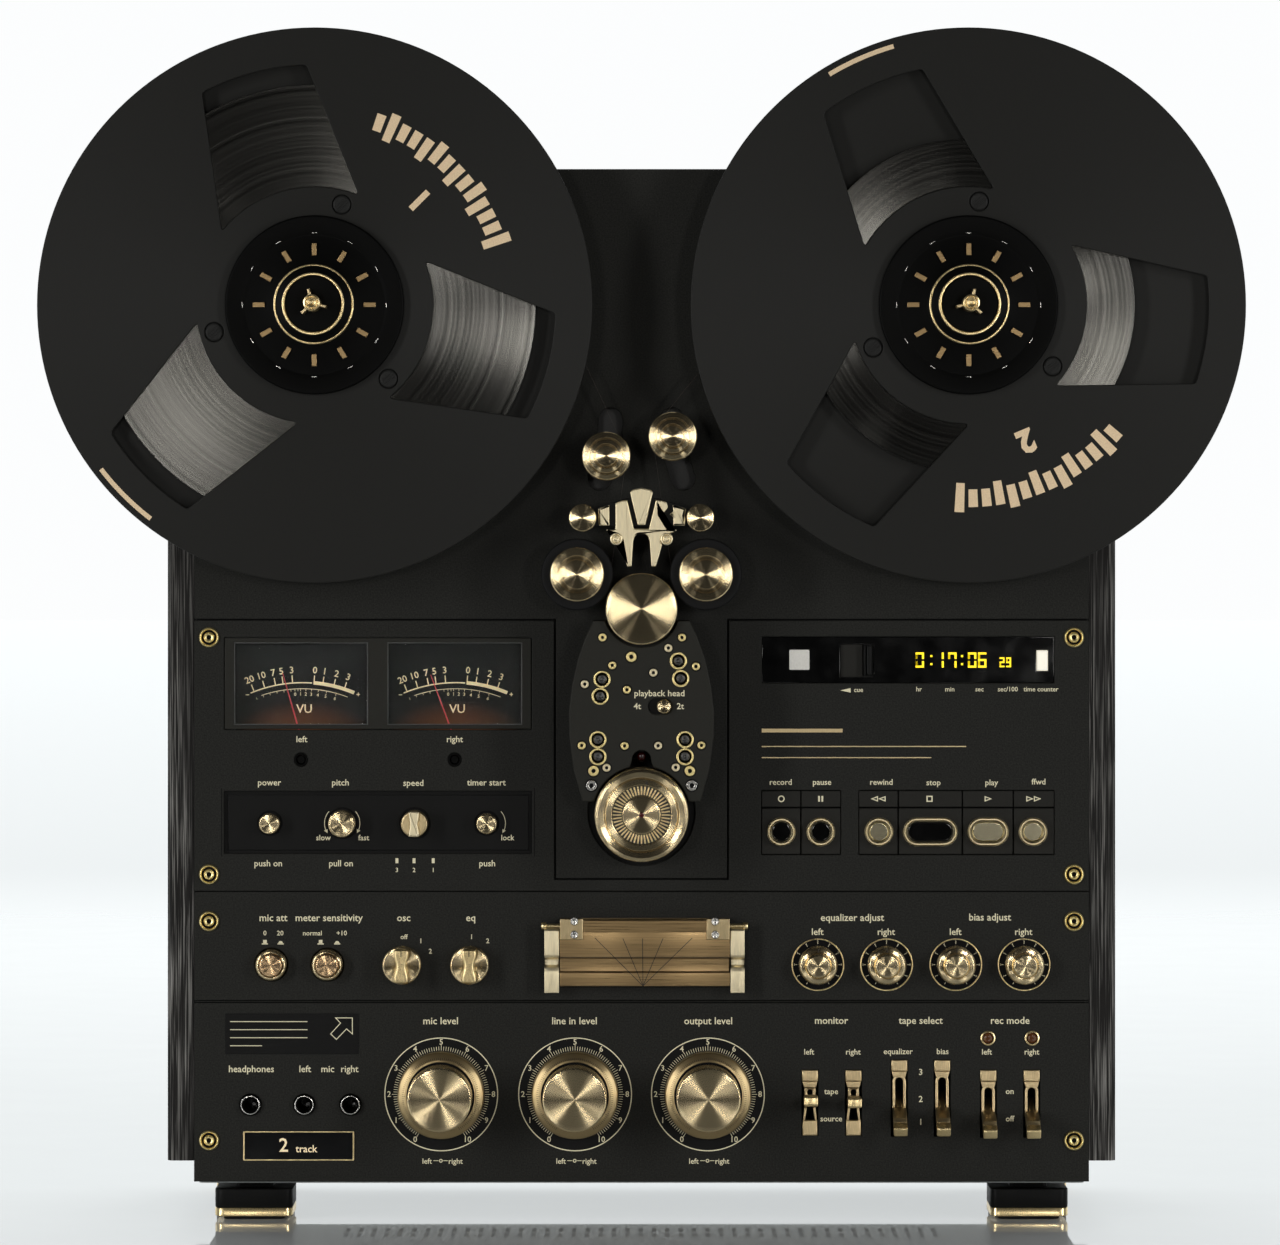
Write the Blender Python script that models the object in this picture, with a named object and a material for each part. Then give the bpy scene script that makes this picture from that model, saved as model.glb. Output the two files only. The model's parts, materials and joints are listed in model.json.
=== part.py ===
"""Open-reel tape deck, its tape looped round one capstan: 60 sub-parts at rest, front facing -Y.

Lengths in the tables are millimetres: X from the middle, Y from the panels' front face
(negative is in front of them), Z above the table. Every object's origin is the point it
turns or slides about.
"""
import math

import bmesh
import bpy
from mathutils import Matrix, Vector

MM = 0.001
PANEL_Y = -70.0          # the panels' front face, in the object's own frame
GAP = 0.3                # clearance between pieces that meet

# cabinet
PANEL_HALF = 217.0
PANEL_TOP = 512.0
SEAM_Z = 161.7
PANEL_BOTTOM = 21.3
PANEL_THICK = 3.0
CASE_BACK = 192.0
CASE_WALL = 2.0
CHEEK_OUT = 230.0
CHEEK_Z = (31.0, 502.0)
CHEEK_Y = (2.0, 194.0)
FEET = {"front": (189.5, 41.0), "rear": (196.8, 158.0)}
CHASSIS_Y = (12.0, 16.0)

# reels
REEL_X = 156.9
REEL_Z = 444.8
REEL_R = 133.35
REEL_Y = (-30.0, -21.0)
FLANGE = 1.2
PACK_R = {"left": 106.0, "right": 80.0}
WINDOW_R = (57.0, 115.5)
WINDOW_AT = {"left": 105.0, "right": 114.0}
HUB_HOLE_R = 38.4
MOTOR_Y = 70.0

# tape path
TAPE_Y = (-34.0, -17.0)
CAPSTAN = (0.0, 299.0)
RETURN = (0.0, 200.2)
PINCH_X = 30.9
PINCH_Z = 315.5
PINCH_PIVOT = (46.9, 285.5)
PINCH_SWING = 12.0
TENSION_AT = {"left": (-16.9, 372.3), "right": (15.0, 381.8)}
TENSION_PIVOT = (93.6, 390.5)
TENSION_ARM = 78.6        # from an arm's pivot to its roller
TENSION_DROP = (0.0, 7.0, 14.0, 21.2)     # the slot's course, in degrees below the pivot
GUIDE = (28.3, 342.6)

# front controls, (x, z)
METERS = {"left": (-197.7, -132.6, -165.1), "right": (-123.3, -57.8, -90.6)}
METER_Z = (242.4, 282.5)
NEEDLE_Z = 234.8
NEEDLE_LEN = 34.0
NEEDLE_REST = {"left": 16.0, "right": 20.5}
SWITCH_ROW = 194.7
KEYS = {
    "record": (58.3, 77.0, 67.8, 7.0),
    "pause": (77.6, 96.5, 86.9, 7.0),
    "rewind": (105.5, 124.2, 115.1, 7.0),
    "stop": (124.8, 155.3, 140.0, 13.3),
    "play": (155.9, 180.0, 168.0, 10.0),
    "fast_forward": (180.6, 200.0, 189.8, 7.0),
}
KEY_Z = (179.7, 202.0)
BUTTON_Z = 190.7
ROW_Z = 126.2
ADJUST_X = (85.5, 118.8, 152.4, 185.5)
LEVEL_X = (-97.1, -32.2, 32.2)
LEVEL_Z = 63.3
JACK_X = (-189.6, -163.5, -141.1)
JACK_Z = 58.3
LEVERS = {
    "monitor_lever_left": (81.7, 43.1, 75.2, 5.5),
    "monitor_lever_right": (102.8, 43.1, 75.2, 4.0),
    "eq_select_lever": (125.0, 42.7, 80.1, -30.0),
    "bias_select_lever": (145.8, 42.7, 80.1, -30.0),
    "record_mode_lever_left": (168.2, 42.1, 75.2, -26.0),
    "record_mode_lever_right": (189.2, 42.1, 75.2, -26.0),
}
LEVER_PIVOT_Y = 8.0

MATERIALS = {
    "black_panel": ((0.017, 0.017, 0.015), 0.2, 0.62),
    "black_metal": ((0.02, 0.02, 0.019), 0.4, 0.5),
    "gold_brass": ((0.62, 0.5, 0.29), 1.0, 0.28),
    "dark_wood": ((0.03, 0.026, 0.022), 0.0, 0.5),
    "rubber": ((0.012, 0.012, 0.012), 0.0, 0.75),
    "reel_metal": ((0.05, 0.05, 0.048), 0.6, 0.45),
    "grey_casting": ((0.33, 0.33, 0.33), 0.8, 0.5),
    "needle_red": ((0.7, 0.08, 0.02), 0.0, 0.4),
    "black_plastic": ((0.015, 0.015, 0.015), 0.0, 0.4),
}


def clear_scene():
    for obj in list(bpy.data.objects):
        bpy.data.objects.remove(obj, do_unlink=True)


def material(name):
    found = bpy.data.materials.get(name)
    if found:
        return found
    color, metallic, roughness = MATERIALS[name]
    made = bpy.data.materials.new(name)
    made.use_nodes = True
    shader = made.node_tree.nodes["Principled BSDF"]
    shader.inputs["Base Color"].default_value = (*color, 1.0)
    shader.inputs["Metallic"].default_value = metallic
    shader.inputs["Roughness"].default_value = roughness
    return made


# ---------------------------------------------------------------- shells, in millimetres
def join_rings(bm, rings, closed=False):
    """Faces between rings of equal length; open ends are capped."""
    count = len(rings[0])
    pairs = list(zip(rings, rings[1:]))
    if closed:
        pairs.append((rings[-1], rings[0]))
    for near, far in pairs:
        for i in range(count):
            j = (i + 1) % count
            bm.faces.new((near[i], near[j], far[j], far[i]))
    if not closed:
        bm.faces.new(rings[0])
        bm.faces.new(rings[-1])


def prism(bm, outline, y0, y1):
    """An outline of (x, z) points, drawn from y0 to y1."""
    rings = [[bm.verts.new((x, y, z)) for x, z in outline] for y in (y0, y1)]
    join_rings(bm, rings)


def prism_x(bm, outline, x0, x1):
    """An outline of (y, z) points, drawn from x0 to x1."""
    rings = [[bm.verts.new((x, y, z)) for y, z in outline] for x in (x0, x1)]
    join_rings(bm, rings)


def box(bm, x0, x1, y0, y1, z0, z1):
    prism(bm, ((x0, z0), (x1, z0), (x1, z1), (x0, z1)), y0, y1)


def circle(x, z, r, count, turn=0.0):
    step = 2 * math.pi / count
    return [(x + r * math.cos(turn + i * step), z + r * math.sin(turn + i * step)) for i in range(count)]


def rod(bm, x, z, r, y0, y1, count=16):
    prism(bm, circle(x, z, r, count), y0, y1)


def lathe(bm, x, z, profile, count=24, ring=False):
    """A (radius, y) profile turned about the Y axis through (x, z). A ring's profile is a closed loop."""
    start = [bm.verts.new((x + r, y, z)) for r, y in profile]
    edges = [bm.edges.new(pair) for pair in zip(start, start[1:])]
    if ring:
        edges.append(bm.edges.new((start[-1], start[0])))
    before = set(bm.verts) - set(start)
    bmesh.ops.spin(
        bm, geom=start + edges, cent=(x, 0, z), axis=(0, 1, 0), angle=2 * math.pi, steps=count, use_merge=True
    )
    mine = [v for v in bm.verts if v not in before]
    bmesh.ops.remove_doubles(bm, verts=mine, dist=1e-4)


def slot_outline(path, half, arc=6):
    """A round-ended slot of this half-width about a path of (x, z) points."""
    points = [Vector(p) for p in path]
    ways = [(b - a).normalized() for a, b in zip(points, points[1:])]
    ways = [ways[0]] + [(a + b).normalized() for a, b in zip(ways, ways[1:])] + [ways[-1]]
    left = [p + Vector((-w.y, w.x)) * half for p, w in zip(points, ways)]
    right = [p - Vector((-w.y, w.x)) * half for p, w in zip(points, ways)]

    def cap(center, way):
        start = math.atan2(-way.x, way.y)
        return [
            center + Vector((math.cos(start + math.pi * i / arc), math.sin(start + math.pi * i / arc))) * half
            for i in range(1, arc)
        ]

    outline = right + cap(points[-1], ways[-1]) + left[::-1] + cap(points[0], -ways[0])
    return [tuple(p) for p in outline]


def plate(bm, outer, holes, y0, y1):
    """A flat plate with holes, filled from its loops and extruded."""
    edges = []
    for loop in [outer, *holes]:
        verts = [bm.verts.new((x, y0, z)) for x, z in loop]
        edges += [bm.edges.new((a, b)) for a, b in zip(verts, verts[1:] + verts[:1])]
    filled = bmesh.ops.triangle_fill(bm, edges=edges, use_beauty=True)
    faces = [g for g in filled["geom"] if isinstance(g, bmesh.types.BMFace)]
    grown = bmesh.ops.extrude_face_region(bm, geom=faces, use_keep_orig=True)
    verts = [g for g in grown["geom"] if isinstance(g, bmesh.types.BMVert)]
    bmesh.ops.translate(bm, verts=verts, vec=(0, y1 - y0, 0))


# ---------------------------------------------------------------- objects
def mesh_object(name, build, pivot, mat):
    """An object from a function that fills a bmesh in millimetres, with its origin at the pivot."""
    bm = bmesh.new()
    build(bm)
    bmesh.ops.recalc_face_normals(bm, faces=bm.faces)
    away = Vector((-pivot[0], -pivot[1], -pivot[2]))
    bmesh.ops.transform(bm, matrix=Matrix.Scale(MM, 4) @ Matrix.Translation(away), verts=bm.verts)
    mesh = bpy.data.meshes.new(name)
    bm.to_mesh(mesh)
    bm.free()
    mesh.materials.append(material(mat))
    obj = bpy.data.objects.new(name, mesh)
    bpy.context.scene.collection.objects.link(obj)
    obj.location = (pivot[0] * MM, (pivot[1] + PANEL_Y) * MM, pivot[2] * MM)
    return obj


def node(name, build, mat, pivot=(0.0, 0.0, 0.0), add=(), cut=(), smooth=False):
    """A sub-part: its first shell, then the shells joined to it and those cut from it."""
    obj = mesh_object(name, build, pivot, mat)
    for kind, operation, helpers in (("add", "UNION", add), ("cut", "DIFFERENCE", cut)):
        for i, helper in enumerate(helpers):
            tool = mesh_object(f"{name}_{kind}_{i}", helper, pivot, mat)
            tool.hide_render = True
            tool.display_type = "WIRE"
            step = obj.modifiers.new(f"{kind}_{i}", "BOOLEAN")
            step.object = tool
            step.operation = operation
            step.solver = "EXACT"
    if smooth:
        obj.data.shade_smooth()
        obj.data.set_sharp_from_angle(angle=math.radians(35))
    return obj


# ---------------------------------------------------------------- cabinet
def make_case():
    back = CASE_BACK

    def inside(bm):
        wall = CASE_WALL
        box(bm, wall - PANEL_HALF, PANEL_HALF - wall, 0, back - wall, PANEL_BOTTOM + wall, PANEL_TOP - wall)

    def inlet(bm):
        box(bm, 134.0, 166.0, back - 22, back - 1, 47.5, 72.5)

    def inlet_hole(bm):
        box(bm, 137.0, 163.0, back - 18, back + 2, 50.5, 69.5)

    def sockets(bm):
        for x in (-150.0, -130.0):
            for z in (60.0, 80.0):
                rod(bm, x, z, 4.2, back - 1, back + 8, 10)

    def vents(bm):
        for i in range(6):
            x = 54.0 * (i - 2.5)
            for y in (120, 155):
                box(bm, x - 22, x + 22, y, y + 4, PANEL_BOTTOM - 2, PANEL_BOTTOM + 4)

    node(
        "case",
        lambda bm: box(bm, -PANEL_HALF, PANEL_HALF, PANEL_THICK + GAP, back, PANEL_BOTTOM, PANEL_TOP - GAP),
        "black_metal",
        add=(),
        cut=(inside,),
    )
    case = bpy.data.objects["case"]
    for i, (operation, build) in enumerate(
        (("UNION", inlet), ("DIFFERENCE", inlet_hole), ("UNION", sockets), ("DIFFERENCE", vents))
    ):
        tool = mesh_object(f"case_detail_{i}", build, (0.0, 0.0, 0.0), "black_metal")
        tool.hide_render = True
        tool.display_type = "WIRE"
        step = case.modifiers.new(f"detail_{i}", "BOOLEAN")
        step.object = tool
        step.operation = operation
        step.solver = "EXACT"


def make_chassis():
    front, rear = CHASSIS_Y

    def cans(bm):
        for x in (-REEL_X, REEL_X):
            rod(bm, x, REEL_Z, 48.0, front + 1, MOTOR_Y, 20)
        rod(bm, *CAPSTAN, 40.0, front + 1, MOTOR_Y, 20)
        box(bm, -45, 45, front + 1, 60, 180, 240)

    def bores(bm):
        for x in (-REEL_X, REEL_X):
            rod(bm, x, REEL_Z, 6.0, front - 2, 56, 12)
        rod(bm, *CAPSTAN, 9.0, front - 2, 56, 12)
        rod(bm, *RETURN, 9.0, front - 2, 30, 12)
        for side in (-1, 1):
            rod(bm, side * TENSION_PIVOT[0], TENSION_PIVOT[1], 4.2, front - 2, 26, 8)
            rod(bm, side * PINCH_PIVOT[0], PINCH_PIVOT[1], 3.7, front - 2, 26, 8)

    node(
        "drive_chassis",
        lambda bm: box(bm, -205, 205, front, rear, 228 - 20, 500),
        "grey_casting",
        add=(cans,),
        cut=(bores, lambda bm: box(bm, -210, -48, front - 2, rear + 2, 200, 300)),
    )


def tension_slot(side):
    x, z = TENSION_PIVOT
    drops = [math.radians(drop) for drop in TENSION_DROP]
    path = [(side * (x - TENSION_ARM * math.cos(a)), z - TENSION_ARM * math.sin(a)) for a in drops]
    return slot_outline(path, 5.8)


def pinch_slot(side):
    pivot = Vector((side * PINCH_PIVOT[0], PINCH_PIVOT[1]))
    arm = Vector((side * PINCH_X, PINCH_Z)) - pivot
    path = []
    for part in (0.0, 0.5, 1.0):
        turn = -side * math.radians(PINCH_SWING) * part
        path.append(pivot + Matrix.Rotation(turn, 2) @ arm)
    return slot_outline(path, 5.0)


def make_transport_panel():
    def pockets(bm):
        x, z0, z1, half = 41.9, 167.7, 293.5, 0.4
        far = PANEL_HALF + 1
        prism(
            bm,
            (
                (-far, z1 + half), (half - x, z1 + half), (half - x, z0 + half), (x - half, z0 + half),
                (x - half, z1 + half), (far, z1 + half), (far, z1 - half), (x + half, z1 - half),
                (x + half, z0 - half), (-x - half, z0 - half), (-x - half, z1 - half), (-far, z1 - half),
            ),
            -1, 0.8,
        )
        box(bm, -202.5, -53.0, -1, 2, 180.0, 210.4)
        box(bm, 58.3, 200.3, -1, 2, 262.7, 285.3)
        rod(bm, *RETURN, 26.0, -1, 2, 32)

    def openings(bm):
        for side in (-1, 1):
            rod(bm, side * REEL_X, REEL_Z, 12.0, -2, 4, 20)
            prism(bm, tension_slot(side), -2, 4)
            prism(bm, pinch_slot(side), -2, 4)
        rod(bm, *CAPSTAN, 9.0, -2, 4, 20)
        rod(bm, *RETURN, 9.0, -2, 4, 20)
        box(bm, -202.5, -53.2, -2, 4, 240.1, 284.9)
        box(bm, 96.3, 112.6, -2, 4, 265.4, 281.7)
        box(bm, 191.4, 197.4, -2, 4, 268.3, 279.0)
        box(bm, 58.0, 96.8, -2, 4, 179.4, 202.3)
        box(bm, 105.2, 200.3, -2, 4, 179.4, 202.3)
        for x in (-180.3, -145.2, -110.0, -75.1):
            rod(bm, x, SWITCH_ROW, 3.2, -2, 4, 12)

    node(
        "transport_panel",
        lambda bm: box(bm, -PANEL_HALF, PANEL_HALF, 0, PANEL_THICK, SEAM_Z + 0.2, PANEL_TOP),
        "black_panel",
        cut=(pockets, openings),
    )


def make_amplifier_panel():
    def bezels(bm):
        for x in ADJUST_X:
            lathe(bm, x, ROW_Z, ((9.9, -2.5), (12.75, -2.5), (12.75, 1), (9.9, 1)), 16, True)
        for x in JACK_X:
            rod(bm, x, JACK_Z, 5.0, -2.5, 26, 12)

    def openings(bm):
        for x in JACK_X:
            rod(bm, x, JACK_Z, 3.15, -4, 24, 12)
        for x in ADJUST_X + (-116.1, -83.3):
            rod(bm, x, ROW_Z, 3.5, -2, 4, 8)
        for x in (-179.5, -152.3):
            rod(bm, x, ROW_Z, 8.1, -2, 4, 14)
        for x in LEVEL_X:
            rod(bm, x, LEVEL_Z, 7.2, -2, 4, 12)
        for x, z0, z1, _ in LEVERS.values():
            box(bm, x - 4.1, x + 4.1, -2, 4, z0, z1)

    def groove(bm):
        box(bm, -PANEL_HALF - 1, PANEL_HALF + 1, -1, 0.8, 107.6, 108.4)

    node(
        "amplifier_panel",
        lambda bm: box(bm, -PANEL_HALF, PANEL_HALF, 0, PANEL_THICK, PANEL_BOTTOM - 0.3, SEAM_Z - 0.2),
        "black_panel",
        add=(bezels,),
        cut=(openings, groove),
    )


def make_cheeks():
    inner = PANEL_HALF + GAP
    y0, y1 = CHEEK_Y
    soft = 2.0
    for side, name in ((-1, "left"), (1, "right")):
        outline = (
            (inner, y0), (CHEEK_OUT - soft, y0), (CHEEK_OUT, y0 + soft),
            (CHEEK_OUT, y1 - soft), (CHEEK_OUT - soft, y1), (inner, y1),
        )

        def build(bm, side=side, outline=outline):
            rings = [[bm.verts.new((side * x, y, z)) for x, y in outline] for z in CHEEK_Z]
            join_rings(bm, rings)

        node(f"side_panel_{name}", build, "dark_wood")


def make_feet():
    levels = ((0.0, 15.0), (1.8, 15.0), (1.8, 19.0), (15.4, 19.0), (15.4, 9.2), (21.0, 9.2))
    for side, name in ((-1, "left"), (1, "right")):
        for place, (half_track, y) in FEET.items():
            x = side * half_track

            def build(bm, x=x, y=y):
                rings = []
                for z, half in levels:
                    edge = half * 0.72
                    corners = (
                        (half, -edge), (half, edge), (edge, half), (-edge, half),
                        (-half, edge), (-half, -edge), (-edge, -half), (edge, -half),
                    )
                    rings.append([bm.verts.new((x + a, y + b, z)) for a, b in corners])
                join_rings(bm, rings)

            node(f"foot_{place}_{name}", build, "rubber")


# ---------------------------------------------------------------- reels
def window_outline(x, z, middle):
    """One window of the front flange: its sides spread towards the hub."""
    inner, outer = WINDOW_R
    points = []
    for r, half_wide, count in ((inner, 34.0, 3), (outer, 26.0, 3)):
        half = math.asin(half_wide / r)
        span = [middle - half + 2 * half * i / count for i in range(count + 1)]
        arc = [(x + r * math.cos(a), z + r * math.sin(a)) for a in span]
        points += arc if r == inner else arc[::-1]
    return points


def make_reel(side, name):
    x, z = side * REEL_X, REEL_Z
    y0, y1 = REEL_Y
    windows = [window_outline(x, z, math.radians(WINDOW_AT[name] + 120 * k)) for k in range(3)]
    outer = circle(x, z, REEL_R, 48)
    hole = circle(x, z, HUB_HOLE_R, 24)
    inset = FLANGE / 2

    def pack(bm):
        r = PACK_R[name]
        profile = ((41.0, y0 + inset), (r, y0 + inset), (r, y1 - inset), (41.0, y1 - inset))
        lathe(bm, x, z, profile, 32, True)

    node(
        f"reel_{name}",
        pack,
        "reel_metal",
        pivot=(x, 0.0, z),
        add=(
            lambda bm: plate(bm, outer, [hole, *windows], y0, y0 + FLANGE),
            lambda bm: plate(bm, outer, [hole], y1 - FLANGE, y1),
        ),
    )


def make_hub_adapter(side, name):
    x, z = side * REEL_X, REEL_Z
    y0, y1 = REEL_Y
    profile = (
        (0, -60), (4.0, -60), (4.0, -46), (14.9, -46), (14.9, -42), (19.2, -41), (19.2, -33.5),
        (43.0, -33.5), (43.0, y0 - GAP), (37.6, y0 - GAP), (37.6, y1 + GAP), (46.0, y1 + GAP),
        (46.0, -15), (11.0, -13), (11.0, 8), (5.0, 8), (5.0, 50), (0, 50),
    )

    def lugs(bm):
        outline = []
        for i in range(12):
            r = 7.0 if i % 4 == 0 else 3.6
            turn = 2 * math.pi * (i + 3) / 12
            outline.append((x + r * math.cos(turn), z + r * math.sin(turn)))
        prism(bm, outline, -56, -45)

    node(
        f"hub_adapter_{name}",
        lambda bm: lathe(bm, x, z, profile, 24),
        "gold_brass",
        pivot=(x, 0.0, z),
        add=(lugs,),
        smooth=True,
    )


# ---------------------------------------------------------------- tape path
def arm_outline(a, b, ra, rb, count=5):
    """A flat arm: round ends of two radii about two points, joined by their flanks."""
    a, b = Vector(a), Vector(b)
    way = math.atan2(b.y - a.y, b.x - a.x)
    points = []
    for center, r, start in ((b, rb, way - math.pi / 2), (a, ra, way + math.pi / 2)):
        for i in range(count + 1):
            turn = start + math.pi * i / count
            points.append((center.x + r * math.cos(turn), center.y + r * math.sin(turn)))
    return points


def make_tension_arm(side, name):
    pivot = (side * TENSION_PIVOT[0], TENSION_PIVOT[1])
    x, z = TENSION_AT[name]
    profile = (
        (0, -37), (11.65, -37), (11.65, -33.5), (9.5, -33.5), (9.5, -17.5), (11.65, -17.5), (11.65, -15),
        (3.4, -15), (3.4, 7), (0, 7),
    )
    node(
        f"tension_arm_{name}",
        lambda bm: prism(bm, arm_outline(pivot, (x, z), 8.0, 5.5), 5.5, 8.5),
        "gold_brass",
        pivot=(pivot[0], 0.0, pivot[1]),
        add=(lambda bm: lathe(bm, x, z, profile, 16), lambda bm: rod(bm, *pivot, 3.5, 7, 22, 8)),
    )


def make_pinch_roller(side, name):
    pivot = (side * PINCH_PIVOT[0], PINCH_PIVOT[1])
    x, z = side * PINCH_X, PINCH_Z
    profile = (
        (0, -37), (12.95, -37), (12.95, -34.5), (17.3, -34.5), (17.3, -17), (4.0, -15.5), (4.0, 7), (0, 7),
    )
    node(
        f"pinch_roller_{name}",
        lambda bm: prism(bm, arm_outline(pivot, (x, z), 6.0, 5.5), 4.8, 8.8),
        "rubber",
        pivot=(pivot[0], 0.0, pivot[1]),
        add=(lambda bm: lathe(bm, x, z, profile, 20), lambda bm: rod(bm, *pivot, 3.0, 8, 22, 8)),
    )


def make_rollers():
    capstan = (
        (0, -38), (17.2, -38), (17.2, -34.2), (16.9, -34.2), (16.9, -16), (8.0, -14), (8.0, 50), (0, 50),
    )
    turned = (
        (0, -37), (22.5, -37), (22.5, -33.5), (21.3, -33.5), (21.3, -17), (22.5, -17), (22.5, -14),
        (8.0, -12), (8.0, 26), (0, 26),
    )
    node(
        "capstan", lambda bm: lathe(bm, *CAPSTAN, capstan, 24), "gold_brass",
        pivot=(CAPSTAN[0], 0.0, CAPSTAN[1]), smooth=True,
    )
    node(
        "return_roller", lambda bm: lathe(bm, *RETURN, turned, 28), "gold_brass",
        pivot=(RETURN[0], 0.0, RETURN[1]), smooth=True,
    )


def arc_points(center, r, start, end, count):
    """Points on an arc, angles in degrees."""
    return [
        (
            center[0] + r * math.cos(math.radians(start + (end - start) * i / count)),
            center[1] + r * math.sin(math.radians(start + (end - start) * i / count)),
        )
        for i in range(count + 1)
    ]


BORED = (
    (-18.9, 265.2), (-19.8, 257.1), (17.7, 274.0), (18.8, 265.6),
    (-20.9, 236.3), (-20.9, 228.1), (20.9, 236.3), (20.9, 228.1),
)
SELECTOR = (10.8, 252.2)
SELECTOR_TRAVEL = 3.9


def make_head_block():
    top, bottom = 293.3, 206.6
    flank = (
        (23.3, top), (27.0, 285.0), (30.5, 275.0), (33.4, 262.0), (34.8, 250.0), (34.6, 238.0),
        (32.6, 222.0), (28.4, bottom),
    )
    under = math.degrees(math.asin((bottom - RETURN[1]) / 23.5))
    over = math.degrees(math.asin((CAPSTAN[1] - top) / 18.0))
    right_arc = arc_points(RETURN, 23.5, under, 76.0, 6)
    left_arc = [(-x, z) for x, z in right_arc[::-1]]
    lamp = ((4.6, 227.4), (2.6, 229.6), (-2.6, 229.6), (-4.6, 227.4))
    crown = arc_points(CAPSTAN, 18.0, 180.0 + over, 360.0 - over, 12)
    outline = [*flank, *right_arc, *lamp, *left_arc, *[(-x, z) for x, z in flank[::-1]], *crown]

    def channels(bm):
        for side in (-1, 1):
            outline = ((15.4, 302.0), (21.6, 302.0), (25.0, 196.0), (18.2, 196.0))
            prism(bm, [(side * x, z) for x, z in outline], -31, -17)

    def bores(bm):
        for x, z in BORED:
            rod(bm, x, z, 3.3, -40, -31.8, 8)
        path = ((SELECTOR[0] - SELECTOR_TRAVEL, SELECTOR[1]), SELECTOR)
        prism(bm, slot_outline(path, 3.8), -40, -28)

    node("head_block", lambda bm: prism(bm, outline, -34, -GAP), "black_panel", cut=(channels, bores))


def make_head_selector():
    profile = ((0, -37), (3.0, -37), (3.4, -36.4), (3.4, -28.5), (0, -28.5))
    node(
        "head_selector", lambda bm: lathe(bm, *SELECTOR, profile, 16), "gold_brass",
        pivot=(SELECTOR[0], 0.0, SELECTOR[1]),
    )


def make_guide_bracket():
    half = (
        (1.7, 338.0), (5.7, 352.0), (9.0, 350.6), (13.0, 349.0), (17.5, 349.0), (22.5, 347.5), (22.5, 338.8),
        (15.0, 338.8), (15.0, 336.2), (11.5, 330.0), (9.4, 325.0), (7.4, 318.8), (5.2, 318.8), (3.4, 331.0),
        (2.4, 334.2),
    )
    outline = [(x, z) for x, z in half] + [(-x, z) for x, z in half[::-1]]

    def guides(bm):
        for side in (-1, 1):
            profile = (
                (0, -37), (6.6, -37), (6.6, -29.6), (4.5, -29.6), (4.5, -18), (6.6, -18), (6.6, -15),
                (3.0, -14), (3.0, -GAP), (0, -GAP),
            )
            lathe(bm, side * GUIDE[0], GUIDE[1], profile, 14)

    def stem(bm):
        prism(bm, ((-5.0, 339.5), (5.0, 339.5), (5.0, 349.0), (-5.0, 349.0)), -31, -GAP)

    node(
        "guide_bracket", lambda bm: prism(bm, outline, -34, -30), "gold_brass",
        add=(guides, stem, lambda bm: prism(bm, WEDGE, -36, -30.4)),
    )


WEDGE = ((-1.7, 339.0), (1.7, 339.0), (5.7, 356.0), (3.0, 357.1), (-3.0, 357.1), (-5.7, 356.0))


# ---------------------------------------------------------------- meters
def make_meters():
    def front(bm):
        box(bm, -202.2, -53.5, 0.3, 6, 240.4, 284.6)

    def pockets(bm):
        low, high = METER_Z
        for x0, x1, _ in METERS.values():
            outline = ((-1, low), (-1, high), (12, high), (12, 229), (5.2, 229), (5.2, low))
            prism_x(bm, outline, x0, x1)

    def pins(bm):
        for _, _, x in METERS.values():
            rod(bm, x, NEEDLE_Z, 1.5, 10, 16, 10)

    node(
        "vu_meters",
        lambda bm: box(bm, -202.2, -53.5, PANEL_THICK + 0.5, 20, 226, 288),
        "black_plastic",
        add=(front,),
        cut=(pockets, pins),
    )
    for name, (_, _, x) in METERS.items():
        turn = math.radians(90 + NEEDLE_REST[name])
        way = Vector((math.cos(turn), math.sin(turn)))
        across = Vector((-way.y, way.x)) * 0.45
        tip = Vector((x, NEEDLE_Z)) + way * NEEDLE_LEN
        base = Vector((x, NEEDLE_Z))
        outline = [tuple(p) for p in (base - across, tip - across, tip + across, base + across)]
        profile = ((0, 6.5), (3.0, 6.5), (3.0, 9.0), (1.1, 9.0), (1.1, 15.0), (0, 15.0))
        node(
            f"vu_needle_{name}",
            lambda bm, x=x, profile=profile: lathe(bm, x, NEEDLE_Z, profile, 12),
            "needle_red",
            pivot=(x, 0.0, NEEDLE_Z),
            add=(lambda bm, outline=outline: prism(bm, outline, 7.2, 8.0),),
        )


# ---------------------------------------------------------------- controls
def knob(name, x, z, profile, count=14, bar=None, mat="gold_brass"):
    """A turned knob on a shaft. A bar is (half-width, half-length, y0, y1)."""
    add = ()
    if bar:
        half, reach, y0, y1 = bar
        add = (lambda bm: box(bm, x - half, x + half, y0, y1, z - reach, z + reach),)
    node(
        name, lambda bm: lathe(bm, x, z, profile, count), mat, pivot=(x, 0.0, z), add=add,
        smooth=bar is None,
    )


def make_switch_row():
    push = ((0, -5.5), (4.4, -5.5), (5.0, -4.8), (5.0, -1.0), (2.8, -1.0), (2.8, 8), (0, 8))
    turn = ((0, -8), (5.9, -8), (6.5, -7.3), (6.5, 1.4), (2.8, 1.4), (2.8, 8), (0, 8))
    knob("power_button", -180.3, SWITCH_ROW, push)
    knob("pitch_knob", -145.2, SWITCH_ROW, turn)
    knob("speed_knob", -110.0, SWITCH_ROW, turn, bar=(1.9, 6.2, -11, -7))
    knob("timer_button", -75.1, SWITCH_ROW, push)


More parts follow.
